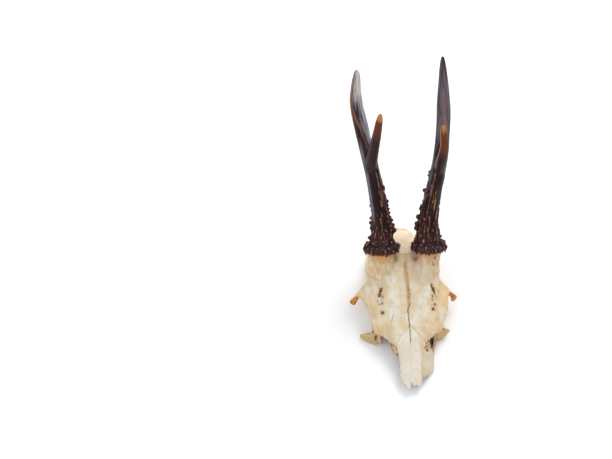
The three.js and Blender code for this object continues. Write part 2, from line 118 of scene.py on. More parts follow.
def through(stations: list[Pair], values: np.ndarray) -> np.ndarray:
    """Looks values up on straight lines through a few stations.

    Args:
        stations: pairs of a value and its result, in any order.
        values: what is looked up.

    Returns:
        One result for each value.
    """
    rising = sorted(stations)
    return np.interp(values, [s[0] for s in rising], [s[1] for s in rising])


def from_line(places: Places, start: Pair, end: Pair) -> np.ndarray:
    """Distance of each place, in plan, from the line between two points.

    Args:
        places: points, one in each row.
        start: one end of the line.
        end: its other end, which may be the same point.

    Returns:
        One distance for each point.
    """
    a = np.array(start)
    along = np.array(end) - a
    square = max(float(along @ along), 1e-9)
    t = np.clip((places[:, :2] - a) @ along / square, 0, 1)
    return np.linalg.norm(places[:, :2] - a - t[:, None] * along, axis=1)


def from_point(places: Places, point: Triple | np.ndarray) -> np.ndarray:
    """Distance of each place from one point."""
    return np.linalg.norm(places - np.array(point), axis=1)


def unit(rows: Places) -> Places:
    """The rows, or the one vector, at a length of 1."""
    return rows / np.linalg.norm(rows, axis=-1, keepdims=True)


def lengthwise(places: Places) -> Places:
    """The places with only their y left, for noise that changes from front to back alone."""
    return places * np.array((0, 1, 0))


def no_masks(names: tuple[str, ...], count: int) -> Masks:
    """Masks of these names, all at 0."""
    return {name: np.zeros(count) for name in names}


def deepen(masks: Masks, name: str, values: np.ndarray) -> None:
    """Raises one of the masks to at least these values."""
    masks[name] = np.maximum(masks[name], values)


# ---------------------------------------------------------------- meshes


def new_object(name: str, data: bpy.types.ID) -> Piece:
    """Puts a mesh, curve, light or camera into the scene.

    Args:
        name: name of the object.
        data: what it shows.

    Returns:
        The object.
    """
    made = bpy.data.objects.new(name, data)
    bpy.context.scene.collection.objects.link(made)
    return made


def select_only(piece: Piece) -> None:
    """Deselects all other objects and makes this one active.

    Args:
        piece: the object.
    """
    bpy.ops.object.select_all(action="DESELECT")
    piece.select_set(True)
    bpy.context.view_layer.objects.active = piece


def copy_of(node: str, name: str) -> Piece:
    """Copies a CAD node, with its loose triangles merged into one closed mesh.

    Args:
        node: name of the CAD node.
        name: name of the new object.

    Returns:
        The new object.
    """
    piece = new_object(name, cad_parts[node].data.copy())
    piece.data.materials.clear()
    select_only(piece)
    bpy.ops.object.mode_set(mode="EDIT")
    bpy.ops.mesh.select_all(action="SELECT")
    bpy.ops.mesh.remove_doubles(threshold=1e-6)
    bpy.ops.object.mode_set(mode="OBJECT")
    return piece


def resurface(piece: Piece, voxel: float) -> None:
    """Lays a new, even mesh over a piece and joins what overlaps in it.

    Args:
        piece: closed mesh, or several that overlap.
        voxel: size of a new face in mm.
    """
    select_only(piece)
    bpy.ops.object.modifier_add(type="REMESH")
    remesh = piece.modifiers[-1]
    remesh.mode = "VOXEL"
    remesh.voxel_size = voxel * MM
    bpy.ops.object.modifier_apply(modifier=remesh.name)


class Skin:
    """The vertices of a piece as an array of places, which code moves and writes back."""

    EDGE_REACH = 6  # over how many neighbours an outer edge is felt
    CORNER_REACH = 3  # and an inner corner

    def __init__(self, piece: Piece) -> None:
        """Reads the vertices and edges.

        Args:
            piece: mesh object whose vertices are moved.
        """
        self.piece = piece
        mesh = piece.data
        flat = np.empty(len(mesh.vertices) * 3)
        mesh.vertices.foreach_get("co", flat)
        self.places: Places = flat.reshape(-1, 3) / MM - BREGMA
        ends = np.empty(len(mesh.edges) * 2, np.int64)
        mesh.edges.foreach_get("vertices", ends)
        self.first, self.second = ends.reshape(-1, 2).T
        self.valence = np.maximum(np.bincount(ends, minlength=len(mesh.vertices)), 1)

    def write(self) -> None:
        """Puts the places back into the mesh."""
        flat = ((self.places + BREGMA) * MM).ravel()
        self.piece.data.vertices.foreach_set("co", flat)
        self.piece.data.update()

    def normals(self) -> Places:
        """Outward directions of the vertices, for the places as they are now.

        Returns:
            One unit vector for each vertex.
        """
        self.write()
        flat = np.empty(len(self.places) * 3)
        self.piece.data.vertex_normals.foreach_get("vector", flat)
        return flat.reshape(-1, 3)

    def blurred(self, values: np.ndarray, steps: int = 1) -> np.ndarray:
        """Averages values over each vertex's neighbours.

        Args:
            values: one number, or one row of numbers, for each vertex.
            steps: how often the averaging is done.

        Returns:
            The averaged values.
        """
        count = len(self.places)
        columns = values.reshape(count, -1).copy()
        for _ in range(steps):
            for k in range(columns.shape[1]):
                column = columns[:, k]
                total = np.bincount(self.first, column[self.second], count)
                total += np.bincount(self.second, column[self.first], count)
                columns[:, k] = total / self.valence
        return columns.reshape(values.shape)

    def freedom(self) -> np.ndarray:
        """Finds how far each vertex may be smoothed.

        Returns:
            0 on outer edges, 1 on faces and in inner corners.
        """
        average = self.blurred(self.normals(), self.EDGE_REACH)
        free = smoothstep(0.80, 0.96, np.linalg.norm(average, axis=1))
        pull = ((self.blurred(self.places, self.CORNER_REACH) - self.places) * average).sum(axis=1)
        return np.maximum(free, smoothstep(0.01, 0.05, pull))

    def upward(self, low: float, high: float) -> np.ndarray:
        """How far each vertex looks up: 0 where its normal's z is `low`, 1 where it is `high`."""
        return smoothstep(low, high, self.normals()[:, 2])

    def relax(self, steps: int, weight: np.ndarray | float = 1.0) -> None:
        """Smooths the surface.

        Args:
            steps: how often each vertex moves half way to the middle of its neighbours.
            weight: how far each vertex may move, from 0 to 1.
        """
        half = 0.5 * np.broadcast_to(weight, len(self.places))[:, None]
        for _ in range(steps):
            self.places += half * (self.blurred(self.places) - self.places)

    def raise_by(self, heights: np.ndarray) -> None:
        """Moves each vertex outwards by so many mm."""
        self.places += self.normals() * heights[:, None]

    def relief(self, steps: int) -> np.ndarray:
        """Height of each vertex over the blurred surface, in mm: above 0 on crests, below in pits."""
        return ((self.places - self.blurred(self.places, steps)) * self.normals()).sum(axis=1)

    def keep(self, name: str, values: np.ndarray) -> None:
        """Stores one number for each vertex as an attribute that materials read.

        Args:
            name: name of the attribute.
            values: the numbers, which are held between 0 and 1.
        """
        attribute = self.piece.data.attributes.new(name, "FLOAT", "POINT")
        attribute.data.foreach_set("value", np.clip(values, 0, 1).astype(np.float32))

    def keep_rows(self, name: str, rows: np.ndarray) -> None:
        """Stores a vector for each vertex as an attribute that materials read."""
        attribute = self.piece.data.attributes.new(name, "FLOAT_VECTOR", "POINT")
        attribute.data.foreach_set("vector", rows.astype(np.float32).ravel())


# ---------------------------------------------------------------- node trees


def paint(red: int, green: int, blue: int) -> tuple[float, float, float, float]:
    """Colour for a shader socket from its values on a screen, 0 to 255."""
    linear = [((v / 255 + 0.055) / 1.055) ** 2.4 if v > 10 else v / 255 / 12.92 for v in (red, green, blue)]
    return (*linear, 1.0)


class Sheet:
    """A node tree with short ways to add and join nodes."""

    # A Mix node has sockets of one name for every kind of value, so those of its colours go by number
    MIX_FIRST = 6
    MIX_SECOND = 7
    MIX_RESULT = 2

    def __init__(self, tree: Tree) -> None:
        """Starts on a tree."""
        self.tree = tree

    def node(self, kind: str, **settings: object) -> Node:
        """Adds a node.

        Args:
            kind: the node's type, without ShaderNode.
            settings: properties to set on it.

        Returns:
            The new node.
        """
        made = self.tree.nodes.new("ShaderNode" + kind)
        for name, value in settings.items():
            setattr(made, name, value)
        return made

    def feed(self, target: Socket, value: object) -> None:
        """Joins a socket to another one, or sets its value.

        Args:
            target: the socket that is fed.
            value: a socket, or a number or colour.
        """
        if isinstance(value, Socket):
            self.tree.links.new(value, target)
        else:
            target.default_value = value

    def maths(self, operation: str, first: object, second: object = 0.0) -> Socket:
        """Does a sum on two numbers.

        Args:
            operation: the Math node's operation.
            first: a number or a socket.
            second: a number or a socket.

        Returns:
            The result's socket.
        """
        made = self.node("Math", operation=operation)
        self.feed(made.inputs[0], first)
        self.feed(made.inputs[1], second)
        return made.outputs[0]

    def spread(self, value: object, low: float, high: float) -> Socket:
        """Lets a value rise smoothly from 0 to 1.

        Args:
            value: a number or a socket.
            low: where the result is 0.
            high: where the result is 1.

        Returns:
            The result's socket.
        """
        made = self.node("MapRange", interpolation_type="SMOOTHSTEP")
        self.feed(made.inputs["Value"], value)
        self.feed(made.inputs["From Min"], low)
        self.feed(made.inputs["From Max"], high)
        return made.outputs[0]

    def noise(self, place: object, scale: object, detail: float, roughness: float = 0.5) -> Socket:
        """Adds cloudy noise.

        Args:
            place: socket of the coordinates.
            scale: a number or a socket.
            detail: how many finer layers it has.
            roughness: how strong those are.

        Returns:
            The noise's socket, mostly between 0.3 and 0.7.
        """
        made = self.node("TexNoise")
        self.feed(made.inputs["Vector"], place)
        self.feed(made.inputs["Scale"], scale)
        self.feed(made.inputs["Detail"], detail)
        self.feed(made.inputs["Roughness"], roughness)
        return made.outputs["Fac"]

    def blend(self, amount: object, first: object, second: object, kind: str = "MIX") -> Socket:
        """Mixes two colours.

        Args:
            amount: share of the second colour.
            first: a colour or a socket.
            second: a colour or a socket.
            kind: how they are mixed.

        Returns:
            The mixed colour's socket.
        """
        made = self.node("Mix", data_type="RGBA", blend_type=kind)
        self.feed(made.inputs["Factor"], amount)
        self.feed(made.inputs[self.MIX_FIRST], first)
        self.feed(made.inputs[self.MIX_SECOND], second)
        return made.outputs[self.MIX_RESULT]

    def mark(self, name: str) -> Socket:
        """A mesh attribute's number."""
        return self.node("Attribute", attribute_name=name).outputs["Fac"]

    def flow(self) -> Socket:
        """Coordinates that run along and around a limb."""
        return self.node("Attribute", attribute_name="flow").outputs["Vector"]

    def place(self, stretch: Triple = (1, 1, 1)) -> Socket:
        """Adds object coordinates.

        Args:
            stretch: what they are multiplied by along each axis.

        Returns:
            Their socket.
        """
        mapping = self.node("Mapping")
        self.feed(mapping.inputs["Vector"], self.node("TexCoord").outputs["Object"])
        self.feed(mapping.inputs["Scale"], stretch)
        return mapping.outputs[0]

    def group(self, tree: Tree, **values: object) -> Node:
        """Places a shared group and feeds its named inputs.

        Args:
            tree: the group.
            values: sockets or numbers for its inputs.

        Returns:
            The group's node.
        """
        made = self.node("Group", node_tree=tree)
        for name, value in values.items():
            self.feed(made.inputs[name], value)
        return made


def new_group(name: str, inputs: dict[str, str], outputs: dict[str, str]) -> tuple[Sheet, Node, Node]:
    """Starts a shader node group.

    Args:
        name: name of the group.
        inputs: socket name to kind, Color, Float or Vector.
        outputs: the same for its outputs.

    Returns:
        The sheet to build on, and the group's input and output nodes.
    """
    tree = bpy.data.node_groups.new(name, "ShaderNodeTree")
    for label, kind in inputs.items():
        tree.interface.new_socket(label, in_out="INPUT", socket_type="NodeSocket" + kind)
    for label, kind in outputs.items():
        tree.interface.new_socket(label, in_out="OUTPUT", socket_type="NodeSocket" + kind)
    entry = tree.nodes.new("NodeGroupInput")
    leave = tree.nodes.new("NodeGroupOutput")
    return Sheet(tree), entry, leave


def mottle_group() -> Tree:
    """Builds the group that mixes two colours in soft patches.

    Returns:
        The group.
    """
    inputs = {"Place": "Vector", "First": "Color", "Second": "Color", "Scale": "Float", "Balance": "Float"}
    sheet, entry, leave = new_group("Mottle", inputs, {"Color": "Color", "Mask": "Float"})
    coarse = sheet.noise(entry.outputs["Place"], entry.outputs["Scale"], 5.0, 0.6)
    shifted = sheet.maths("ADD", coarse, entry.outputs["Balance"])
    mask = sheet.spread(shifted, 0.38, 0.62)
    sheet.feed(leave.inputs["Mask"], mask)
    sheet.feed(leave.inputs["Color"], sheet.blend(mask, entry.outputs["First"], entry.outputs["Second"]))
    return sheet.tree


def deposit_group() -> Tree:
    """Builds the group that lays a colour over another where a mask allows, broken up by fine noise.

    Returns:
        The group.
    """
    inputs = {"Place": "Vector", "Under": "Color", "Over": "Color"}
    inputs |= {"Amount": "Float", "Scale": "Float", "Break": "Float"}
    sheet, entry, leave = new_group("Deposit", inputs, {"Color": "Color", "Mask": "Float"})
    noise = sheet.noise(entry.outputs["Place"], entry.outputs["Scale"], 4.0)
    centred = sheet.maths("SUBTRACT", noise, 0.5)
    broken = sheet.maths("MULTIPLY", centred, entry.outputs["Break"])
    lively = sheet.maths("ADD", entry.outputs["Amount"], broken)
    present = sheet.spread(entry.outputs["Amount"], 0.0, 0.15)
    mask = sheet.maths("MULTIPLY", sheet.spread(lively, 0.05, 0.9), present)
    sheet.feed(leave.inputs["Mask"], mask)
    sheet.feed(leave.inputs["Color"], sheet.blend(mask, entry.outputs["Under"], entry.outputs["Over"]))
    return sheet.tree


def grain_group() -> Tree:
    """Builds the group that puts out the height of fine grain with scattered pores.

    Returns:
        The group.
    """
    inputs = {"Place": "Vector", "Scale": "Float", "Pores": "Float"}
    sheet, entry, leave = new_group("Grain", inputs, {"Height": "Float"})
    fine = sheet.noise(entry.outputs["Place"], entry.outputs["Scale"], 6.0, 0.65)
    cells = sheet.node("TexVoronoi")
    sheet.feed(cells.inputs["Vector"], entry.outputs["Place"])
    sheet.feed(cells.inputs["Scale"], entry.outputs["Scale"])
    pores = sheet.maths("SUBTRACT", 1.0, sheet.spread(cells.outputs["Distance"], 0.02, 0.22))
    sunk = sheet.maths("MULTIPLY", pores, entry.outputs["Pores"])
    sheet.feed(leave.inputs["Height"], sheet.maths("SUBTRACT", fine, sunk))
    return sheet.tree


MOTTLE = mottle_group()
DEPOSIT = deposit_group()
GRAIN = grain_group()


def new_material(name: str) -> tuple[Material, Sheet, Node]:
    """Starts a material.

    Args:
        name: name of the material.

    Returns:
        The material, a sheet on its nodes, and its shader.
    """
    material = bpy.data.materials.new(name)
    material.use_nodes = True
    return material, Sheet(material.node_tree), material.node_tree.nodes["Principled BSDF"]


def add_bump(sheet: Sheet, shader: Node, height: Socket, strength: float, depth: float) -> None:
    """Feeds a shader's normal from a height.

    Args:
        sheet: the material's nodes.
        shader: its shader.
        height: socket of the height, about 0 to 1.
        strength: how strongly the bump shows.
        depth: height of 1 in mm.
    """
    made = sheet.node("Bump")
    made.inputs["Strength"].default_value = strength
    made.inputs["Distance"].default_value = depth * MM
    sheet.feed(made.inputs["Height"], height)
    sheet.feed(shader.inputs["Normal"], made.outputs[0])


@dataclass(frozen=True)
class Layer:
    """A stain or wear colour that lies where a mask says.

    Noise breaks it up: `scale` is the noise's own, and `broken` is how strongly it does.
    """

    mask: str
    colour: Shade
    scale: float
    broken: float


def lay(sheet: Sheet, place: Socket, ground: Socket, layers: list[Layer]) -> Socket:
    """Lays layers over a ground colour in order.

    Args:
        sheet: the material's nodes.
        place: coordinates for the noise.
        ground: the colour underneath.
        layers: what lies on it.

    Returns:
        Socket of the resulting colour.
    """
    colour = ground
    for layer in layers:
        made = sheet.group(
            DEPOSIT,
            Place=place,
            Under=colour,
            Over=paint(*layer.colour),
            Amount=sheet.mark(layer.mask),
            Scale=layer.scale,
            Break=layer.broken,
        )
        colour = made.outputs["Color"]
    return colour


@dataclass(frozen=True)
class BoneFinish:
    """Dry bone: pale ground with cream patches, ochre margins, tan sutures and brown pits.

    `balance` shifts the patches towards cream, `fibre` scales the grain along each axis, and `streaks`
    is how much of the fine ochre freckles shows.
    """

    name: str
    slot: str
    pale: Shade
    cream: Shade
    ochre: Shade = (196, 160, 114)
    balance: float = 0.0
    fibre: Triple = (1.0, 0.3, 1.0)
    streaks: float = 0.3
    roughness: float = 0.46
    specular: float = 0.4

    def material(self) -> Material:
        """Builds the finish's nodes.

        Returns:
            The material.
        """
        made, sheet, shader = new_material(self.name)
        spot = sheet.place()
        fibres = sheet.place(self.fibre)
        patches = sheet.group(
            MOTTLE,
            Place=spot,
            First=paint(*self.pale),
            Second=paint(*self.cream),
            Scale=85.0,
            Balance=self.balance,
        )
        freckles = sheet.group(
            MOTTLE,
            Place=fibres,
            First=patches.outputs["Color"],
            Second=paint(*self.ochre),
            Scale=330.0,
            Balance=-0.12,
        )
        colour = sheet.blend(self.streaks, patches.outputs["Color"], freckles.outputs["Color"])
        layers = [
            Layer("peach", (222, 186, 138), 240.0, 0.95),
            Layer("ochre", self.ochre, 190.0, 0.8),
            Layer("tan", (186, 150, 110), 800.0, 1.1),
            # Grey-brown smudges: partly dirt and partly painted shade beside the burrs' inner feet, and
            # painted shade at the nose's broken tip.
            Layer("smudge_and_shade", (142, 104, 74), 300.0, 0.7),
            Layer("rusty", (204, 130, 44), 500.0, 0.8),
            Layer("brown", (126, 78, 30), 600.0, 0.9),
            Layer("dark", (74, 44, 16), 700.0, 0.5),
        ]
        colour = lay(sheet, fibres, colour, layers)
        # Painted shade: the colour is darkened in small recesses of the surface.
        hollow = sheet.maths("MULTIPLY", sheet.mark("hollow"), 0.3)
        colour = sheet.blend(hollow, colour, paint(206, 170, 126), "MULTIPLY")
        sheet.feed(shader.inputs["Base Color"], colour)
        rough = sheet.maths("MULTIPLY", patches.outputs["Mask"], 0.12)
        sheet.feed(shader.inputs["Roughness"], sheet.maths("ADD", rough, self.roughness))
        shader.inputs["Specular IOR Level"].default_value = self.specular
        grain = sheet.group(GRAIN, Place=fibres, Scale=900.0, Pores=0.5)
        add_bump(sheet, shader, grain.outputs["Height"], 0.4, 0.12)
        return made


@dataclass(frozen=True)
class AntlerFinish:
    """Antler: near black in the furrows, red brown on beads, tan on ridges, golden at worn tips."""

    name: str = "antler_horn"
    slot: str = "antler"
    dark: Shade = (24, 10, 12)
    body: Shade = (58, 30, 28)
    roughness: float = 0.32
    specular: float = 0.13

    def material(self) -> Material:
        """Builds the finish's nodes.

        Returns:
            The material.
        """
        made, sheet, shader = new_material(self.name)
        flow = sheet.flow()
        ground = sheet.group(
            MOTTLE, Place=flow, First=paint(*self.dark), Second=paint(*self.body), Scale=0.22, Balance=0.0
        )
        layers = [
            # Painted sheen: the grey-violet reflection of the bright room on the smooth sides and the upper
            # beams.
            Layer("violet_sheen", (108, 98, 108), 0.5, 1.5),
            Layer("amber", (100, 44, 15), 0.3, 0.8),
            Layer("bead", (72, 38, 36), 1.4, 1.4),
            Layer("ridge", (154, 100, 64), 2.0, 2.2),
            Layer("glint", (158, 132, 120), 1.1, 2.2),
            Layer("pale", (188, 178, 174), 0.5, 1.3),
            Layer("rust", (160, 110, 78), 0.7, 1.5),
            Layer("gold", (178, 120, 62), 0.4, 1.2),
            Layer("furrow", self.dark, 1.2, 0.7),
        ]
        colour = lay(sheet, flow, ground.outputs["Color"], layers)
        sheet.feed(shader.inputs["Base Color"], colour)
        rough = sheet.maths("MULTIPLY", ground.outputs["Mask"], 0.14)
        sheet.feed(shader.inputs["Roughness"], sheet.maths("ADD", rough, self.roughness))
        shader.inputs["Specular IOR Level"].default_value = self.specular
        grain = sheet.group(GRAIN, Place=flow, Scale=1.3, Pores=0.3)
        add_bump(sheet, shader, grain.outputs["Height"], 0.45, 0.12)
        return made


# ---------------------------------------------------------------- bones


@dataclass(frozen=True)
class Pit:
    """A nerve hole or dent in the brow, round or drawn out between two points in plan, in mm."""

    start: Pair
    end: Pair
    radius: float
    depth: float
    dark: float


# The suture between left and right, as (y, x)
MIDLINE = [(9, 0), (-8, 0.3), (-22, 1.1), (-45, 1.4), (-57.7, 1.6), (-71, 1.6), (-88, 0.9), (-108, 0.1)]

BROW_PITS = {
    Side.RIGHT: [
        Pit((-21.5, -25.6), (-21.9, -26.9), 1.25, 1.6, 1.0),
        Pit((-22.0, -27.2), (-22.5, -29.0), 0.7, 0.7, 0.6),
        Pit((-22.7, -29.4), (-22.9, -30.3), 1.1, 1.5, 1.0),
        Pit((-20.0, -31.5), (-20.6, -32.2), 0.8, 0.8, 0.6),
        Pit((-21.6, -33.2), (-21.4, -35.8), 2.2, 0.5, 0.3),
        Pit((-23.2, -37.4), (-20.4, -37.2), 0.7, 0.3, 0.6),
        Pit((-21.2, -44.2), (-20.8, -44.5), 1.05, 1.5, 0.95),
        Pit((-24.4, -34.0), (-24.6, -35.0), 0.6, 0.4, 0.4),
    ],
    Side.LEFT: [
        Pit((24.3, -6.6), (24.1, -7.0), 0.8, 0.9, 0.7),
        Pit((23.2, -10.4), (23.3, -11.0), 0.65, 0.7, 0.6),
        Pit((21.5, -23.2), (21.8, -25.2), 0.6, 0.9, 0.9),
        Pit((22.6, -26.0), (23.1, -27.6), 1.3, 1.6, 1.0),
        Pit((23.4, -28.2), (23.8, -30.2), 0.75, 0.9, 0.8),
        Pit((21.9, -31.6), (21.7, -33.0), 0.7, 0.6, 0.55),
        Pit((21.4, -35.0), (21.9, -35.8), 0.65, 0.5, 0.5),
        Pit((26.8, -27.2), (27.2, -28.6), 0.45, 0.4, 0.4),
        Pit((25.6, -32.2), (25.4, -32.6), 0.5, 0.4, 0.4),
        Pit((23.9, -38.5), (23.8, -38.8), 0.85, 1.1, 0.8),
        Pit((22.3, -42.4), (21.9, -42.6), 1.05, 1.5, 1.0),
    ],
}

STUMP_TIPS = {Side.RIGHT: (-45.2, -26.6, 12.6), Side.LEFT: (41.0, -25.4, 13.0)}
STUMP_SWELL = {Side.RIGHT: 0.75, Side.LEFT: 1.5}  # how much thicker the end of each bar is, in mm

# Both ends of the seam between brow and nose, in plan: in the middle, and at the open side of the nose
NASAL_ROOT = (1.6, -57.7)
NASAL_CORNERS = {Side.RIGHT: (-11.6, -70.8), Side.LEFT: (14.4, -69.4)}

# The nasals' outer edge, under which the left maxilla lies, as (y, x)
NASAL_EDGE = [(-96, 10.2), (-89.7, 10.6), (-75.6, 12.2), (-69, 14.6)]

# The open crack in front of the tan band, as (y, x)
CRACK = [
    (-38.5, 2.4), (-40.5, 1.9), (-43, 0.6), (-47.3, 0.5),
    (-52, 0.9), (-58.7, 1.3), (-66, 1.5), (-72, 1.4),
]

# Middle of the tan band over the closed suture, as (y, x), and the brown spots in it
BAND = [(0, -0.6), (-8, -0.5), (-16, 0.2), (-24, 1.0), (-31, 1.3), (-38, 1.4)]
BAND_SPOTS = ((1.5, -28.4), (1.9, -34.5), (2.1, -31.8))

# A short scratch in the right half of the brow
SCRATCH = ((-11.9, -46.6), (-13.6, -52.8))

# The hollow in front of the closed suture, in plan
BROW_HOLLOW = ((1.2, -46), (1.5, -57))

CASE_MIDDLE = (-4.0, 10.0, 8.0)
PEDICLE_FOOT = (27.0, -17.0, 32.5)  # of the left side

BONE_MASKS = ("peach", "ochre", "tan", "smudge_and_shade", "rusty", "brown", "dark")


def from_midline(places: Places) -> np.ndarray:
    """Distance of each place from the middle suture, across the skull."""
    return np.abs(places[:, 0] - through(MIDLINE, places[:, 1]))


@dataclass
class Bone:
    """One bone: an even, smoothed skin over its CAD solid, with its marks and colours.

    `voxel` is the size of its faces, `ragged` is how far its edges wander, and `swell` is how far its
    skin stands out of the CAD solid, all in mm. `smoothing` is a number of steps.
    """

    node: str
    finish: BoneFinish
    seed: int
    voxel: float = 0.45
    smoothing: int = 90
    ragged: float = 0.35
    swell: float = 0.17
    side: Side | None = None
    piece: Piece | None = field(default=None, init=False)
    edge: np.ndarray = field(init=False, repr=False)

    def build(self) -> None:
        """Makes the bone's mesh and stores its marks."""
        self.piece = copy_of(self.node, self.node + "_bone")
        resurface(self.piece, self.voxel)
        skin = Skin(self.piece)
        skin.raise_by(np.full(len(skin.places), self.swell))
        free = skin.freedom()
        skin.relax(self.smoothing, free)
        self.edge = 1 - free
        self.wear(skin)
        self.wind_case(skin)
        self.shape(skin)
        skin.relax(2)
        skin.places[:, 2] = np.maximum(skin.places[:, 2], 0)
        skin.write()
        self.mark(skin)
        select_only(self.piece)
        bpy.ops.object.shade_smooth()

    def wear(self, skin: Skin) -> None:
        """Breaks up straight edges and adds the slow rise and fall of real bone.

        Args:
            skin: the bone's skin.
        """
        above = smoothstep(0.3, 2.5, skin.places[:, 2])
        for axis in range(3):
            shake = waves(skin.places, 2.6, self.seed + axis)
            shake += 0.5 * waves(skin.places, 1.2, self.seed + 5 + axis)
            skin.places[:, axis] += self.ragged * shake * self.edge * above
        slow = 0.16 * waves(skin.places, 19, self.seed + 9) + 0.05 * waves(skin.places, 5, self.seed + 10)
        skin.raise_by(slow * (1 - self.edge) * above)

    def wind_case(self, skin: Skin) -> None:
        """Lets the sutures of the braincase wind, by the same sideways shift for all its bones.

        Args:
            skin: the bone's skin.
        """
        outward = unit(skin.places - np.array(CASE_MIDDLE))
        shift = []
        for axis in range(3):
            wide = waves(skin.places, 8, 81 + axis)
            shift.append(0.55 * wide + 0.3 * waves(skin.places, 3.2, 84 + axis))
        sideways = np.stack(shift, axis=1)
        sideways -= outward * (sideways * outward).sum(axis=1)[:, None]
        share = smoothstep(0.5, 4, skin.places[:, 2]) * smoothstep(-9, -2, skin.places[:, 1])
        skin.places += sideways * share[:, None]
        x, y, z = skin.places.T
        waist = smoothstep(16, -4, y) * smoothstep(34, 16, z)
        waist *= smoothstep(24, 30, np.abs(x)) * smoothstep(-26, -12, y)
        skin.places[:, 0] -= np.sign(x) * 1.6 * waist

    def shape(self, skin: Skin) -> None:
        """Adds what only this kind of bone has."""

    def mark(self, skin: Skin) -> None:
        """Stores the masks that the finish reads.

        Args:
            skin: the finished skin.
        """
        fine = skin.relief(4)
        masks = no_masks(BONE_MASKS, len(skin.places))
        self.stain(skin, masks)
        # Painted shade: how deep each vertex lies in a small recess, for the finish to darken.
        masks["hollow"] = np.clip(-fine / 0.2, 0, 1)
        for name, values in masks.items():
            skin.keep(name, values)

    def stain(self, skin: Skin, masks: Masks) -> None:
        """Fills in the colour masks of this kind of bone."""

    def dress(self, materials: dict[str, Material]) -> None:
        """Gives the bone its material and ties it to the frame.

        Args:
            materials: finish name to material.
        """
        self.piece.data.materials.append(materials[self.finish.name])
        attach(self.piece, "root")
        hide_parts(self.node)
        LOG.info("%s: %d faces", self.piece.name, len(self.piece.data.polygons))


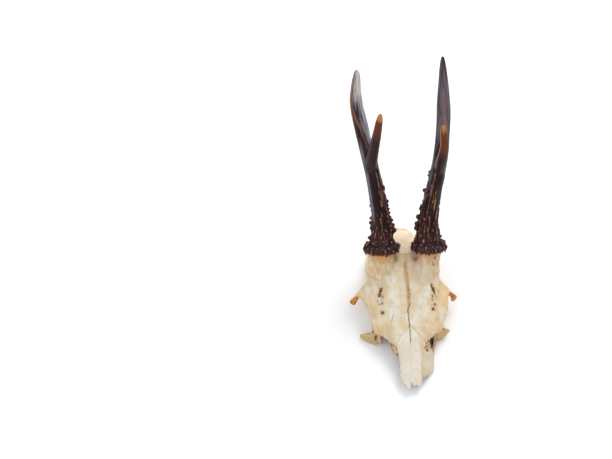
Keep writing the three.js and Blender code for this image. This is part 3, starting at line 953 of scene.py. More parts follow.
@dataclass
class Frontal(Bone):
    """Brow bone of one side, with its pedicle, eye-socket wall and broken bar behind the eye."""

    broken: np.ndarray = field(init=False, repr=False)

    FOOT_REACH = 14  # how far about the pedicle's foot the bone is rounded, in mm
    FOOT_STEPS = 150

    def outer(self, skin: Skin) -> np.ndarray:
        """1 on what looks up, 0 on what looks down."""
        return skin.upward(0.1, 0.45)

    def streaks(self, skin: Skin) -> np.ndarray:
        """Streaks that run from front to back and up the pedicle."""
        return waves(skin.places * np.array((1, 0.2, 0.2)), 2.4, self.seed + 40)

    def from_crack(self, skin: Skin) -> np.ndarray:
        """Distance from the open crack in the middle, in mm."""
        x, y, _ = skin.places.T
        return np.abs(x - through(CRACK, y) - 0.15 * waves(lengthwise(skin.places), 3.5, 74))

    def shape(self, skin: Skin) -> None:
        """Rounds the pedicle's foot and adds suture, groove, nerve holes and the broken bar.

        Args:
            skin: the bone's skin.
        """
        foot = np.array(PEDICLE_FOOT) * np.array((self.side.value, 1, 1))
        near_foot = bump(from_point(skin.places, foot), self.FOOT_REACH)
        skin.relax(self.FOOT_STEPS, near_foot)
        self.edge = self.edge * (1 - near_foot)
        self.weave_suture(skin)
        self.sink_brow(skin)
        self.break_bar(skin)

    def weave_suture(self, skin: Skin) -> None:
        """Lets the middle suture wind, closely behind and loosely in front.

        Args:
            skin: the bone's skin.
        """
        off = from_midline(skin.places)
        line = lengthwise(skin.places)
        behind = smoothstep(-40, -26, skin.places[:, 1])
        tight = 0.7 * waves(line, 2.2, 71)
        loose = 0.3 * waves(line, 7, 72)
        above = smoothstep(12, 24, skin.places[:, 2])
        skin.places[:, 0] += (behind * tight + (1 - behind) * loose) * bump(off, 4.0) * above
        skin.places[:, 0] -= self.side.value * 0.45 * bump(off, 2.5) * above

    def sink_brow(self, skin: Skin) -> None:
        """Sinks the groove above the eye, the suture's band, its crack and the nerve holes.

        Args:
            skin: the bone's skin.
        """
        outer = self.outer(skin)
        x, y, _ = skin.places.T
        along = smoothstep(-50, -42, y) * smoothstep(-4, -14, y)
        sunk = 0.5 * bump(np.abs(np.abs(x) - 22.3), 5.5) * along
        band = bump(np.abs(x - through(BAND, y)), 3.0) * smoothstep(-43, -38, y) * smoothstep(0, -6, y)
        teeth = 0.5 + 0.5 * waves(skin.places * np.array((1.6, 0.7, 0)), 1.9, 73)
        sunk += (0.16 + 0.14 * teeth) * band
        sunk += 0.5 * bump(from_line(skin.places, *BROW_HOLLOW), 7)
        sunk += 0.7 * smoothstep(0.7, 0.15, self.from_crack(skin)) * smoothstep(-37.5, -41, y)
        sunk += 0.3 * smoothstep(0.5, 0.1, from_line(skin.places, *SCRATCH))
        wobble = 1 + 0.3 * waves(skin.places, 2.0, self.seed + 20)
        for pit in BROW_PITS[self.side]:
            distance = from_line(skin.places, pit.start, pit.end) * wobble
            sunk += 0.8 * pit.depth * smoothstep(pit.radius * 1.3, pit.radius * 0.2, distance)
            sunk -= 0.1 * bump(np.abs(distance - pit.radius * 1.7), 0.8)
        skin.places[:, 2] -= sunk * outer * smoothstep(14, 18, skin.places[:, 2])

    def break_bar(self, skin: Skin) -> None:
        """Bends the end of the bar behind the eye down and opens it aslant to its spongy core.

        Args:
            skin: the bone's skin.
        """
        tip = np.array(STUMP_TIPS[self.side])
        root = np.array((tip[0] * 0.78, -20.5, 24.5))
        bend = np.array((0.4 * self.side.value, -0.8, 0.0))
        near = smoothstep(10, 1, from_point(skin.places, tip))
        skin.places += near[:, None] * bend
        tip = tip + bend
        skin.raise_by(STUMP_SWELL[self.side] * bump(from_point(skin.places, tip), 8.0))
        along = unit(tip - root)
        facing = np.array((0.0, -0.6, 0.8))
        facing = unit(facing - along * (facing @ along))
        offset = skin.places - tip
        limit = 1.0 + 0.028 * (offset @ along + 3) ** 2
        near = smoothstep(11, 7.5, from_point(skin.places, tip))
        above = offset @ facing - limit
        over = np.maximum(above, 0) * near
        self.broken = skin.blurred(smoothstep(-0.35, 0.25, above) * near, 3)
        sponge = np.abs(waves(skin.places, 1.9, self.seed + 30))
        skin.places -= facing * (over + 0.25 * sponge * self.broken)[:, None]

    def stain(self, skin: Skin, masks: Masks) -> None:
        """Colours the margins, the pedicle, the suture, the broken end and the holes.

        Args:
            skin: the finished skin.
            masks: the bone's masks, which it changes.
        """
        outer = self.outer(skin)
        self.stain_margins(skin, outer, masks)
        self.stain_suture(skin, outer, masks)
        self.stain_break(skin, masks)
        self.stain_pits(skin, outer, masks)

    def stain_margins(self, skin: Skin, outer: np.ndarray, masks: Masks) -> None:
        """Warms the outer margins and the pedicle, with streaks.

        Args:
            skin: the finished skin.
            outer: 1 on what looks up, 0 on what looks down.
            masks: the bone's masks, which it changes.
        """
        x, y, z = skin.places.T
        across = np.abs(x)
        peach = 0.06 + 0.34 * smoothstep(20, 33, across) * smoothstep(-2, -14, y)
        peach += 0.5 * smoothstep(20, 7, from_point(skin.places, STUMP_TIPS[self.side]))
        peach += 0.35 * smoothstep(-44, -60, y) * smoothstep(9, 22, across)
        masks["peach"] = peach + 0.45 * bump(np.hypot(x, y + 3), 13)
        pedicle = smoothstep(36, 52, z + 0.45 * across)
        ochre = 0.08 + 0.3 * smoothstep(15, 31, across)
        ochre = np.maximum(ochre, 0.12 + 0.34 * pedicle)
        ochre = np.maximum(ochre, 0.95 * smoothstep(47, 57, z + 0.18 * across))
        ochre = np.maximum(ochre, 0.42 * smoothstep(-42, -58, y) * smoothstep(7, 17, across))
        ochre = np.maximum(ochre, 0.6 * (1 - outer))
        ochre += 0.2 * self.edge * outer
        ochre += (0.06 + 0.07 * pedicle) * self.streaks(skin) * outer
        masks["ochre"] = ochre + 0.1 * waves(skin.places, 9, self.seed + 42)

    def stain_suture(self, skin: Skin, outer: np.ndarray, masks: Masks) -> None:
        """Colours the closed suture's band, its corners at the braincase, the crack and the scratch.

        Args:
            skin: the finished skin.
            outer: 1 on what looks up, 0 on what looks down.
            masks: the bone's masks, which it changes.
        """
        x, y, _ = skin.places.T
        across = np.abs(x)
        band = bump(np.abs(x - through(BAND, y)), 3.6) * smoothstep(-45, -37, y) * smoothstep(-2, -8, y)
        deepen(masks, "tan", 0.85 * band * outer)
        deepen(masks, "tan", 0.75 * bump(np.hypot(across - 10.5, 0.9 * (y + 2.6)), 7.5) * outer)
        # Partly dirt and partly painted shade: a grey-brown smudge at each burr's inner foot, where the burr
        # shades the brow.
        masks["smudge_and_shade"] = 0.62 * bump(np.hypot(across - 8.6, 0.8 * (y + 2.8)), 5.0)
        for spot in BAND_SPOTS:
            deepen(masks, "brown", 0.7 * bump(from_line(skin.places, spot, spot), 1.5) * outer)
        crack = self.from_crack(skin)
        front = smoothstep(-37.5, -40.5, y) * outer
        deepen(masks, "brown", 0.65 * bump(crack, 1.2) * front)
        deepen(masks, "dark", 0.5 * smoothstep(0.6, 0.15, crack) * front)
        deepen(masks, "brown", 0.5 * bump(from_line(skin.places, *SCRATCH), 0.8) * outer)

    def stain_break(self, skin: Skin, masks: Masks) -> None:
        """Colours the sponge in the broken bar and the rim under the antler.

        Args:
            skin: the finished skin.
            masks: the bone's masks, which it changes.
        """
        z = skin.places[:, 2]
        core = 0.5 + 0.5 * waves(skin.places, 2.6, self.seed + 43)
        deepen(masks, "rusty", 0.95 * self.broken)
        deepen(masks, "rusty", 0.5 * smoothstep(45, 56, z + 2 * self.streaks(skin)))
        deepen(masks, "brown", 0.75 * self.broken * smoothstep(0.35, 1.0, core))
        deepen(masks, "brown", 0.65 * smoothstep(55.5, 58, z))

    def stain_pits(self, skin: Skin, outer: np.ndarray, masks: Masks) -> None:
        """Darkens the nerve holes and speckles the groove above the eye.

        Args:
            skin: the finished skin.
            outer: 1 on what looks up, 0 on what looks down.
            masks: the bone's masks, which it changes.
        """
        wobble = 1 + 0.25 * waves(skin.places, 2.4, self.seed + 44)
        for pit in BROW_PITS[self.side]:
            distance = from_line(skin.places, pit.start, pit.end) * wobble
            deepen(masks, "tan", 0.7 * pit.dark * bump(distance, pit.radius + 2.8) * outer)
            deepen(masks, "brown", 0.95 * pit.dark * bump(distance, pit.radius + 1.3) * outer)
            middle = smoothstep(pit.radius, pit.radius * 0.2, distance)
            deepen(masks, "dark", 0.5 * pit.dark * middle * outer)
        x, y, _ = skin.places.T
        speckle = smoothstep(0.7, 1.6, waves(skin.places, 3.0, self.seed + 41))
        rough_area = bump(np.hypot((np.abs(x) - 22.5) / 5.0, (y + 31) / 12), 1.0)
        deepen(masks, "brown", 0.45 * speckle * rough_area * outer)


class Nasal(Bone):
    """Long, thin bone over one side of the nose, broken off at its tip."""

    def from_crack(self, skin: Skin) -> np.ndarray:
        """Distance from the open crack, across the nose."""
        return np.abs(skin.places[:, 0] - through(CRACK, skin.places[:, 1]))

    def shape(self, skin: Skin) -> None:
        """Adds fine lengthwise fibres, the end of the open crack and a closed seam.

        Args:
            skin: the bone's skin.
        """
        off = from_midline(skin.places)
        sway = 0.22 * waves(lengthwise(skin.places), 8, 72)
        skin.places[:, 0] += (sway - 0.5 * self.side.value) * bump(off, 3.0)
        seam = from_line(skin.places, NASAL_ROOT, NASAL_CORNERS[self.side])
        skin.places += bump(seam, 2.6)[:, None] * np.array((0, 0.75, -0.12))
        fibres = skin.places * np.array((1, 0.12, 1))
        skin.raise_by(0.06 * waves(fibres, 1.5, self.seed + 12))
        outer = skin.upward(0.05, 0.4)
        open_part = smoothstep(-73, -69, skin.places[:, 1]) * outer
        skin.places[:, 2] -= 0.6 * smoothstep(0.65, 0.15, self.from_crack(skin)) * open_part

    def stain(self, skin: Skin, masks: Masks) -> None:
        """Stains the edges slightly, and marks the crack's end and a faint line before it.

        Args:
            skin: the finished skin.
            masks: the bone's masks, which it changes.
        """
        x, y, _ = skin.places.T
        crack = self.from_crack(skin)
        outer = skin.upward(0.05, 0.4)
        ochre = 0.1 + 0.3 * smoothstep(5.5, 11, np.abs(x)) + 0.4 * (1 - outer)
        masks["ochre"] = ochre + 0.06 * waves(skin.places * np.array((1, 0.15, 1)), 5, self.seed + 40)
        open_part = smoothstep(-72.5, -69, y) * outer
        deepen(masks, "brown", 0.6 * bump(crack, 1.1) * open_part)
        deepen(masks, "brown", 0.15 * bump(from_midline(skin.places), 1.3) * smoothstep(-98, -84, y) * outer)
        deepen(masks, "dark", 0.5 * smoothstep(0.55, 0.15, crack) * open_part)
        wander = from_line(skin.places, (6.2, -74), (4.5, -103)) + 0.7 * waves(skin.places, 12, 75)
        masks["tan"] = 0.22 * bump(np.abs(wander), 2.6) * outer
        # Painted shade: a grey-brown patch at the middle of the broken nose tip, for the shadow seen in its
        # notch.
        masks["smudge_and_shade"] = 0.5 * bump(from_line(skin.places, (1.5, -103.5), (0.5, -106)), 2.4)


class CaseBone(Bone):
    """Bone of the braincase: smooth, warm and evenly coloured."""

    def stain(self, skin: Skin, masks: Masks) -> None:
        """Warms the bone all over, browner towards the saw cut.

        Args:
            skin: the finished skin.
            masks: the bone's masks, which it changes.
        """
        z = skin.places[:, 2]
        masks["ochre"] = 0.15 + 0.35 * smoothstep(16, 2, z) + 0.06 * waves(skin.places, 9, self.seed + 40)
        masks["brown"] = 0.3 * smoothstep(1.2, 0.2, z)


@dataclass
class Fragment(Bone):
    """What is left of a bone of the face: thin, stained and broken all round.

    The plate is brown and spongy behind `brown_behind` in y, and its inner edge slips under the nasal by
    `tuck` mm.
    """

    holes: tuple[Pair, ...] = ()
    brown_behind: float | None = None
    tuck: float = 0.0

    def shape(self, skin: Skin) -> None:
        """Sinks the holes and dents the thin plate.

        Args:
            skin: the bone's skin.
        """
        skin.raise_by(0.12 * waves(skin.places, 3.4, self.seed + 12))
        inner_edge = np.abs(skin.places[:, 0] - through(NASAL_EDGE, skin.places[:, 1]))
        skin.places += (self.tuck * bump(inner_edge, 3.5))[:, None] * np.array((-1, 0, -0.25))
        for hole in self.holes:
            skin.places[:, 2] -= 0.8 * bump(from_line(skin.places, hole, hole), 1.3)

    def stain(self, skin: Skin, masks: Masks) -> None:
        """Lays ochre with olive and brown stains, and darkens the holes.

        Args:
            skin: the finished skin.
            masks: the bone's masks, which it changes.
        """
        stains = smoothstep(0.2, 1.3, waves(skin.places, 7, self.seed + 14))
        masks["ochre"] = 0.35 + 0.45 * stains
        masks["brown"] = 0.25 * smoothstep(0.6, 1.5, waves(skin.places, 3.0, self.seed + 15))
        masks["tan"] += 0.2
        for hole in self.holes:
            distance = from_line(skin.places, hole, hole)
            deepen(masks, "brown", 0.9 * bump(distance, 2.4))
            deepen(masks, "dark", 0.8 * smoothstep(1.2, 0.5, distance))
        if self.brown_behind is not None:
            behind = smoothstep(self.brown_behind - 1.0, self.brown_behind + 1.5, skin.places[:, 1])
            sponge = 0.55 + 0.35 * waves(skin.places, 2.2, self.seed + 16)
            deepen(masks, "brown", behind * (sponge - 0.2))
            deepen(masks, "tan", 0.8 * behind)
            masks["ochre"] *= 0.35 + 0.65 * behind


class NoseCore(Bone):
    """Partition, closing plate and scrolls inside the nose."""

    def shape(self, skin: Skin) -> None:
        """Furrows the smooth masses lengthwise, as rolled plates show outside.

        Args:
            skin: the bone's skin.
        """
        x, y, z = skin.places.T
        rolled = smoothstep(-24, -30, y) * smoothstep(-78, -70, y) * smoothstep(2.2, 4.5, np.abs(x))
        flow = np.stack([np.abs(x), y * 0.12, z + 0.3 * np.abs(x)], axis=1)
        furrows = np.abs(waves(flow, 9, self.seed + 3)) - 0.45
        skin.raise_by(1.1 * furrows * rolled)

    def stain(self, skin: Skin, masks: Masks) -> None:
        """Browns the core where the nose is open to view, darker in the furrows.

        Args:
            skin: the finished skin.
            masks: the bone's masks, which it changes.
        """
        deep = np.clip(-skin.relief(12) / 0.3, 0, 1)
        masks["ochre"] += 0.8
        masks["tan"] += 0.8
        masks["brown"] = 0.5 + 0.3 * deep
        masks["dark"] = 0.05 + 0.25 * deep


# ---------------------------------------------------------------- antlers


@dataclass(frozen=True)
class Course:
    """Where each vertex is by a line: mm along it, mm away from it, and its angle from the front."""

    along: np.ndarray
    across: np.ndarray
    angle: np.ndarray


class Line:
    """A smooth line through points in mm, cut into even steps."""

    STEPS = 260
    FINER = 4  # how much finer the curve is drawn before it is cut
    FRONT = np.array((0.0, -0.82, 0.57))  # where the front of an antler faces
    CHUNK = 20000  # how many places are measured at a time

    def __init__(self, points: list[Triple]) -> None:
        """Runs the line through points.

        Args:
            points: where the line passes, in order, in mm.
        """
        dense = self.drawn(np.array(points, float))
        run = np.concatenate([[0], np.cumsum(np.linalg.norm(np.diff(dense, axis=0), axis=1))])
        self.run = np.linspace(0, run[-1], self.STEPS)
        self.places: Places = np.stack([np.interp(self.run, run, dense[:, k]) for k in range(3)], axis=1)
        self.tangents: Places = unit(np.gradient(self.places, axis=0))

    def drawn(self, knots: Places) -> Places:
        """Draws a smooth curve through knots.

        Args:
            knots: the points that it passes, in order.

        Returns:
            Many points on the curve.
        """
        chord = np.sqrt(np.linalg.norm(np.diff(knots, axis=0), axis=1))
        times = np.concatenate([[0], np.cumsum(chord)])
        slopes = np.gradient(knots, times, axis=0)
        fine = np.linspace(0, times[-1], self.STEPS * self.FINER)
        index = np.clip(np.searchsorted(times, fine, side="right") - 1, 0, len(times) - 2)
        span = (times[index + 1] - times[index])[:, None]
        t = (fine - times[index])[:, None] / span
        start = knots[index] * (2 * t**3 - 3 * t**2 + 1) + slopes[index] * span * (t**3 - 2 * t**2 + t)
        stop = knots[index + 1] * (3 * t**2 - 2 * t**3) + slopes[index + 1] * span * (t**3 - t**2)
        return start + stop

    @property
    def length(self) -> float:
        """Length of the line in mm."""
        return float(self.run[-1])

    def step_at(self, along: float) -> int:
        """Number of the step nearest to a place along the line."""
        return int(np.clip(round(along / self.length * (self.STEPS - 1)), 0, self.STEPS - 1))

    def around(self, index: np.ndarray) -> tuple[Places, Places]:
        """Directions across the line at its steps: to the front, and to the animal's left.

        Args:
            index: numbers of the steps.

        Returns:
            Two arrays of unit vectors.
        """
        tangent = self.tangents[index]
        front = unit(self.FRONT - tangent * (tangent @ self.FRONT)[:, None])
        return front, np.cross(tangent, front)

    def measure(self, places: Places) -> Course:
        """Finds where each place is along and around the line.

        Args:
            places: points, one in each row.

        Returns:
            Their course along the line.
        """
        nearest = []
        squares = (self.places**2).sum(axis=1)
        for start in range(0, len(places), self.CHUNK):
            part = places[start : start + self.CHUNK]
            nearest.append(np.argmin(squares - 2 * part @ self.places.T, axis=1))
        index = np.concatenate(nearest)
        offset = places - self.places[index]
        ahead = (offset * self.tangents[index]).sum(axis=1)
        front, left = self.around(index)
        angle = np.arctan2((offset * left).sum(axis=1), (offset * front).sum(axis=1))
        across = np.sqrt(np.maximum((offset**2).sum(axis=1) - ahead**2, 0))
        return Course(self.run[index] + ahead, across, angle)

    def point(self, along: float, angle: float, distance: float) -> np.ndarray:
        """Point at a distance beside the line.

        Args:
            along: how far along the line, in mm.
            angle: angle from the front towards the animal's left, in radians.
            distance: distance from the line in mm.

        Returns:
            The point.
        """
        step = self.step_at(along)
        front, left = self.around(np.array([step]))
        return self.places[step] + distance * (math.cos(angle) * front[0] + math.sin(angle) * left[0])

    def tube(self, name: str, radius: list[Pair]) -> Piece:
        """Makes a closed round limb along the line.

        Args:
            name: name of the new object.
            radius: (mm along the line, radius in mm) stations.

        Returns:
            The new mesh object.
        """
        sizes = through(radius, self.run)
        curve = bpy.data.curves.new(name, "CURVE")
        curve.dimensions = "3D"
        curve.bevel_depth = MM
        curve.bevel_resolution = 9
        curve.use_fill_caps = True
        spline = curve.splines.new("POLY")
        spline.points.add(self.STEPS - 1)
        for point, place, size in zip(spline.points, (self.places + BREGMA) * MM, sizes):
            point.co = (*place, 1)
            point.radius = size
        select_only(new_object(name, curve))
        bpy.ops.object.convert(target="MESH")
        return bpy.context.view_layer.objects.active


@dataclass(frozen=True)
class Bead:
    """One bead of an antler: place along the beam in mm, angle from the front in degrees, radius in mm."""

    along: float
    angle: float
    radius: float


# A tint lays real colour, or painted sheen where its mask is the grey-violet one; the calm tints only mark
# smooth stretches.
@dataclass(frozen=True)
class Tint:
    """A stretch of colour or polish along a limb.

    `start` and `end` are shares of the limb's length, `angles` are the angles from the front at those
    two in degrees, `width` is how far it reaches to either side in degrees, and `raised` is in mm.
    """

    mask: str
    start: float
    end: float
    angles: Pair
    width: float
    amount: float
    raised: float = 0.0
    fade: float = 0.06

    def strength(self, share: np.ndarray, angle: np.ndarray) -> np.ndarray:
        """How strong it is at each vertex, from 0 to 1, before `amount`.

        Args:
            share: each vertex's place along the limb, from 0 to 1.
            angle: its angle from the front in radians.

        Returns:
            One value for each vertex.
        """
        part = np.clip((share - self.start) / (self.end - self.start), 0, 1)
        middle = np.radians(self.angles[0] + part * (self.angles[1] - self.angles[0]))
        off = np.abs(np.angle(np.exp(1j * (angle - middle))))
        ends = smoothstep(self.start - self.fade, self.start + self.fade, share)
        ends = ends * smoothstep(self.end + self.fade, self.end - self.fade, share)
        return ends * bump(off, math.radians(self.width))


@dataclass
class Antler:
    """One antler, from the underside of its burr to its tips, as one grown piece."""

    side: Side
    beam: list[Triple]
    tine: list[Triple]
    taper: list[Pair]
    beads: list[Bead]
    calm: list[Tint]
    beam_tints: list[Tint]
    tine_tints: list[Tint]
    seed: int
    finish: AntlerFinish
    burr_centre: Triple = (20.0, 3.5, 51.5)
    burr_lean: float = math.radians(45)
    voxel: float = 0.4
    piece: Piece | None = field(default=None, init=False)
    spine: Line = field(init=False, repr=False)
    branch: Line = field(init=False, repr=False)
    radius: list[Pair] = field(init=False, repr=False)
    by_beam: Course = field(init=False, repr=False)
    by_tine: Course = field(init=False, repr=False)
    tine_share: np.ndarray = field(init=False, repr=False)
    flow: Places = field(init=False, repr=False)

    BURR_HALF = 3.25  # half the burr's height in mm
    FLARE = 3.5  # height of the flare over it
    FORK_REACH = 16  # how far about the fork the limbs are rounded, in mm
    FORK_STEPS = 70

    # How many knobs there are of each kind
    CLUMPS = 22
    COMB = 46
    LOBES = 14
    CRUMBS = 90
    SCATTERED = 230  # places tried for beads on the beam, of which some are left out
    RIDGES = 110  # places tried for long ridges
    GIRTH = 6.6  # radius in mm of the roll that the furrows' pattern is wrapped round
    STRETCH = 7  # how much longer than wide the furrows are

    # The burr's skirt and the flare over it, as (mm along, radius in mm)
    BURR = [
        (0, 12.4), (0.7, 13.6), (2.0, 14.4), (4.4, 14.4),
        (5.7, 13.4), (6.8, 11.3), (8.4, 10.0), (12, 9.4),
    ]
    # The front tine, as (share of its length, radius in mm)
    TINE = [
        (0, 3.4), (0.1, 4.3), (0.22, 4.9), (0.42, 4.6), (0.67, 3.8),
        (0.88, 3.0), (0.96, 2.3), (0.988, 1.7), (1, 1.0),
    ]
    # Depth of the furrows and share of knots, as (mm along, value)
    BEAM_FURROWS = [(3, 0.1), (9, 0.45), (16, 0.8), (45, 0.7), (68, 0.42), (90, 0.16), (200, 0.08)]
    TINE_FURROWS = [(14, 0.45), (30, 0.25), (46, 0.1), (95, 0.05)]
    KNOTS = [(0, 1.0), (12, 1.0), (32, 0.35), (60, 0.1), (200, 0)]

    def mirrored(self, points: list[Triple]) -> list[Triple]:
        """The points on this antler's own side."""
        return [(x * self.side.value, y, z) for x, y, z in points]

    def foot(self, rise: float) -> Triple:
        """Point on the middle line of the burr, `rise` mm above its middle."""
        x, y, z = self.burr_centre
        return (x, y + rise * math.sin(self.burr_lean), z + rise * math.cos(self.burr_lean))

    def build(self) -> None:
        """Grows the antler's mesh and stores its marks."""
        foot = [self.foot(-self.BURR_HALF), self.foot(0), self.foot(self.BURR_HALF + self.FLARE)]
        self.spine = Line(self.mirrored(foot + self.beam))
        self.branch = Line(self.mirrored(self.tine))
        self.radius = self.BURR + [(share * self.spine.length, size) for share, size in self.taper]
        self.piece = self.join_limbs()
        resurface(self.piece, self.voxel)
        skin = Skin(self.piece)
        fork = self.mirrored(self.tine)[1]
        skin.relax(self.FORK_STEPS, bump(from_point(skin.places, fork), self.FORK_REACH))
        self.locate(skin)
        self.furrow(skin)
        skin.relax(3)
        skin.write()
        self.mark(skin)
        select_only(self.piece)
        bpy.ops.object.shade_smooth()

    def tine_radius(self) -> list[Pair]:
        """Radius along the front tine, as (mm along, mm)."""
        return [(share * self.branch.length, size) for share, size in self.TINE]

    def join_limbs(self) -> Piece:
        """Joins beam, tine and beads in one object.

        Returns:
            The object.
        """
        limb = self.spine.tube("limb", self.radius)
        small = self.branch.tube("tine", self.tine_radius())
        beads = self.bead_mesh()
        bpy.ops.object.select_all(action="DESELECT")
        for part in (small, beads, limb):
            part.select_set(True)
        bpy.context.view_layer.objects.active = limb
        bpy.ops.object.join()
        limb.name = f"antler_{self.side.name.lower()}"
        return limb

    def bead_mesh(self) -> Piece:
        """Makes all beads and short ridges of the antler as one mesh.

        Returns:
            The new object.
        """
        chance = np.random.default_rng(self.seed)
        shell = bmesh.new()
        for bead in self.beads:
            self.add_bead(shell, bead.along, math.radians(bead.angle), 1.12 * bead.radius, 0.5 * bead.radius)
        self.add_burr(shell, chance)
        self.add_scatter(shell, chance)
        mesh = bpy.data.meshes.new("beads")
        shell.to_mesh(mesh)
        shell.free()
        return new_object("beads", mesh)

    def add_bead(
        self, shell: Shell, along: float, angle: float, radius: float, out: float, length: float = 1.0
    ) -> None:
        """Adds one bead, round or drawn out along the beam.

        Args:
            shell: mesh that takes it.
            along: place along the beam in mm.
            angle: angle from the front in radians.
            radius: its radius in mm.
            out: how far its middle stands out of the beam's skin, in mm.
            length: its length over its width.
        """
        at = float(through(self.radius, np.array([along]))[0])
        place = (self.spine.point(along, angle, at + out) + BREGMA) * MM
        tangent = Vector(self.spine.tangents[self.spine.step_at(along)])
        turn = tangent.to_track_quat("Z", "Y").to_matrix().to_4x4()
        size = Matrix.Diagonal((radius * MM, radius * MM, radius * length * MM, 1))
        matrix = Matrix.Translation(place) @ turn @ size
        bmesh.ops.create_icosphere(shell, subdivisions=2, radius=1.0, matrix=matrix)

    def add_burr(self, shell: Shell, chance: np.random.Generator) -> None:
        """Adds the burr's clumps, the comb of upright ridges on its edge, its side lobes and crumbs.

        Args:
            shell: mesh that takes them.
            chance: source of random numbers.
        """
        for k in range(self.CLUMPS):
            angle = 2 * math.pi * (k + chance.uniform(-0.4, 0.4)) / self.CLUMPS
            aside = math.sin(angle) ** 2
            radius = chance.uniform(0.8, 1.3) + 0.5 * aside
            along = chance.uniform(2.2, 4.5 + 3 * aside)
            self.add_bead(shell, along, angle, radius, chance.uniform(-0.7, 0.0), 1.3)
        for k in range(self.COMB):
            angle = 2 * math.pi * (k + chance.uniform(-0.3, 0.3)) / self.COMB
            radius = chance.uniform(0.55, 0.85)
            along = chance.uniform(1.2, 3.2)
            self.add_bead(shell, along, angle, radius, chance.uniform(0.0, 0.45), chance.uniform(3.0, 5.0))
        for k in range(self.LOBES):
            angle = math.radians(90 + chance.uniform(-26, 22)) * (1 if k % 2 else -1)
            along = chance.uniform(4.5, 7.8)
            self.add_bead(shell, along, angle, chance.uniform(1.1, 1.7), chance.uniform(0.4, 1.6), 1.2)
        for _ in range(self.CRUMBS):
            angle = chance.uniform(0, 2 * math.pi)
            radius = chance.uniform(0.5, 0.95)
            length = chance.uniform(1.2, 3.2)
            self.add_bead(shell, chance.uniform(4.5, 11), angle, radius, chance.uniform(-0.3, 0.2), length)

    def add_scatter(self, shell: Shell, chance: np.random.Generator) -> None:
        """Adds scattered beads and long ridges, dense low down and none above the fork.

        Args:
            shell: mesh that takes them.
            chance: source of random numbers.
        """
        inward = -self.side.value * math.pi / 2
        for _ in range(self.SCATTERED):
            along = 9 + 52 * chance.random() ** 2.2
            angle = chance.uniform(-math.pi, math.pi)
            facing = math.cos(angle - inward)
            toward = max(facing, 0.55 * max(-facing, 0) - along / 90)
            if chance.random() > 0.12 + 0.88 * toward:
                continue
            radius = chance.uniform(0.65, 1.55) * (1.1 - 0.007 * along)
            out = chance.uniform(-0.2, 0.4) * radius
            self.add_bead(shell, along, angle, radius, out, chance.uniform(1.0, 1.8))
        for _ in range(self.RIDGES):
            along = 12 + 60 * chance.random() ** 1.2
            angle = chance.uniform(-math.pi, math.pi)
            if self.calmness(np.array([along]), np.array([angle]))[0] > 0.3:
                continue
            radius = chance.uniform(0.5, 0.85)
            self.add_bead(shell, along, angle, radius, -0.25 * radius, chance.uniform(4, 10))

    def wrapped(self, angle: np.ndarray, along: np.ndarray) -> Places:
        """Coordinates for a pattern that runs along and around a limb without a seam."""
        rows = [np.cos(angle) * self.GIRTH, np.sin(angle) * self.GIRTH, along / self.STRETCH]
        return np.stack(rows, axis=1)

    def locate(self, skin: Skin) -> None:
        """Finds where each vertex is along and around both limbs, and how far it belongs to the tine.

        Args:
            skin: the antler's skin.
        """
        self.by_beam = self.spine.measure(skin.places)
        self.by_tine = self.branch.measure(skin.places)
        beam = through(self.radius, self.by_beam.along)
        tine = through(self.tine_radius(), self.by_tine.along)
        nearer = self.by_beam.across - beam - self.by_tine.across + tine
        share = smoothstep(-0.8, 0.8, nearer) * smoothstep(12, 26, self.by_tine.along)
        self.tine_share = skin.blurred(share, 12)
        fork_along = float(self.spine.measure(self.branch.places[:1]).along[0])
        beam_flow = self.wrapped(self.by_beam.angle, self.by_beam.along)
        tine_flow = self.wrapped(self.by_tine.angle, fork_along + self.by_tine.along)
        self.flow = beam_flow + self.tine_share[:, None] * (tine_flow - beam_flow)

    def calmness(self, along: np.ndarray, angle: np.ndarray) -> np.ndarray:
        """How smooth the beam is at each place, from 0 to 1.

        Args:
            along: how far along the beam each place is, in mm.
            angle: its angle from the front in radians.

        Returns:
            One value for each place.
        """
        return np.max([tint.strength(along / self.spine.length, angle) for tint in self.calm], axis=0)

    def furrow(self, skin: Skin) -> None:
        """Cuts the lengthwise furrows, deep low down and faint above the fork.

        Args:
            skin: the antler's skin.
        """
        along, angle, tine = self.by_beam.along, self.by_beam.angle, self.tine_share
        ribs = 0.55 - np.abs(waves(self.flow, 4.6, self.seed + 1))
        thin = 0.55 - np.abs(waves(self.flow, 2.6, self.seed + 2))
        lumps = waves(skin.places, 3.0, self.seed + 3)
        crumbs = waves(skin.places, 1.7, self.seed + 4)
        deep = through(self.BEAM_FURROWS, along) * (1 - 0.9 * self.calmness(along, angle))
        deep += tine * (through(self.TINE_FURROWS, self.by_tine.along) - deep)
        knotty = (1 - tine) * through(self.KNOTS, along)
        heights = deep * (0.75 * ribs + 0.5 * thin) + knotty * (0.18 * lumps + 0.14 * crumbs)
        for tint in self.beam_tints:
            heights += (1 - tine) * tint.raised * tint.strength(along / self.spine.length, angle)
        skin.raise_by(heights)

    def mark(self, skin: Skin) -> None:
        """Stores the masks that the finish reads.

        Args:
            skin: the finished skin.
        """
        crest = skin.relief(8)
        along, angle = self.by_beam.along, self.by_beam.angle
        limbs = (
            (self.beam_tints, along / self.spine.length, angle, 1 - self.tine_share),
            (self.tine_tints, self.by_tine.along / self.branch.length, self.by_tine.angle, self.tine_share),
        )
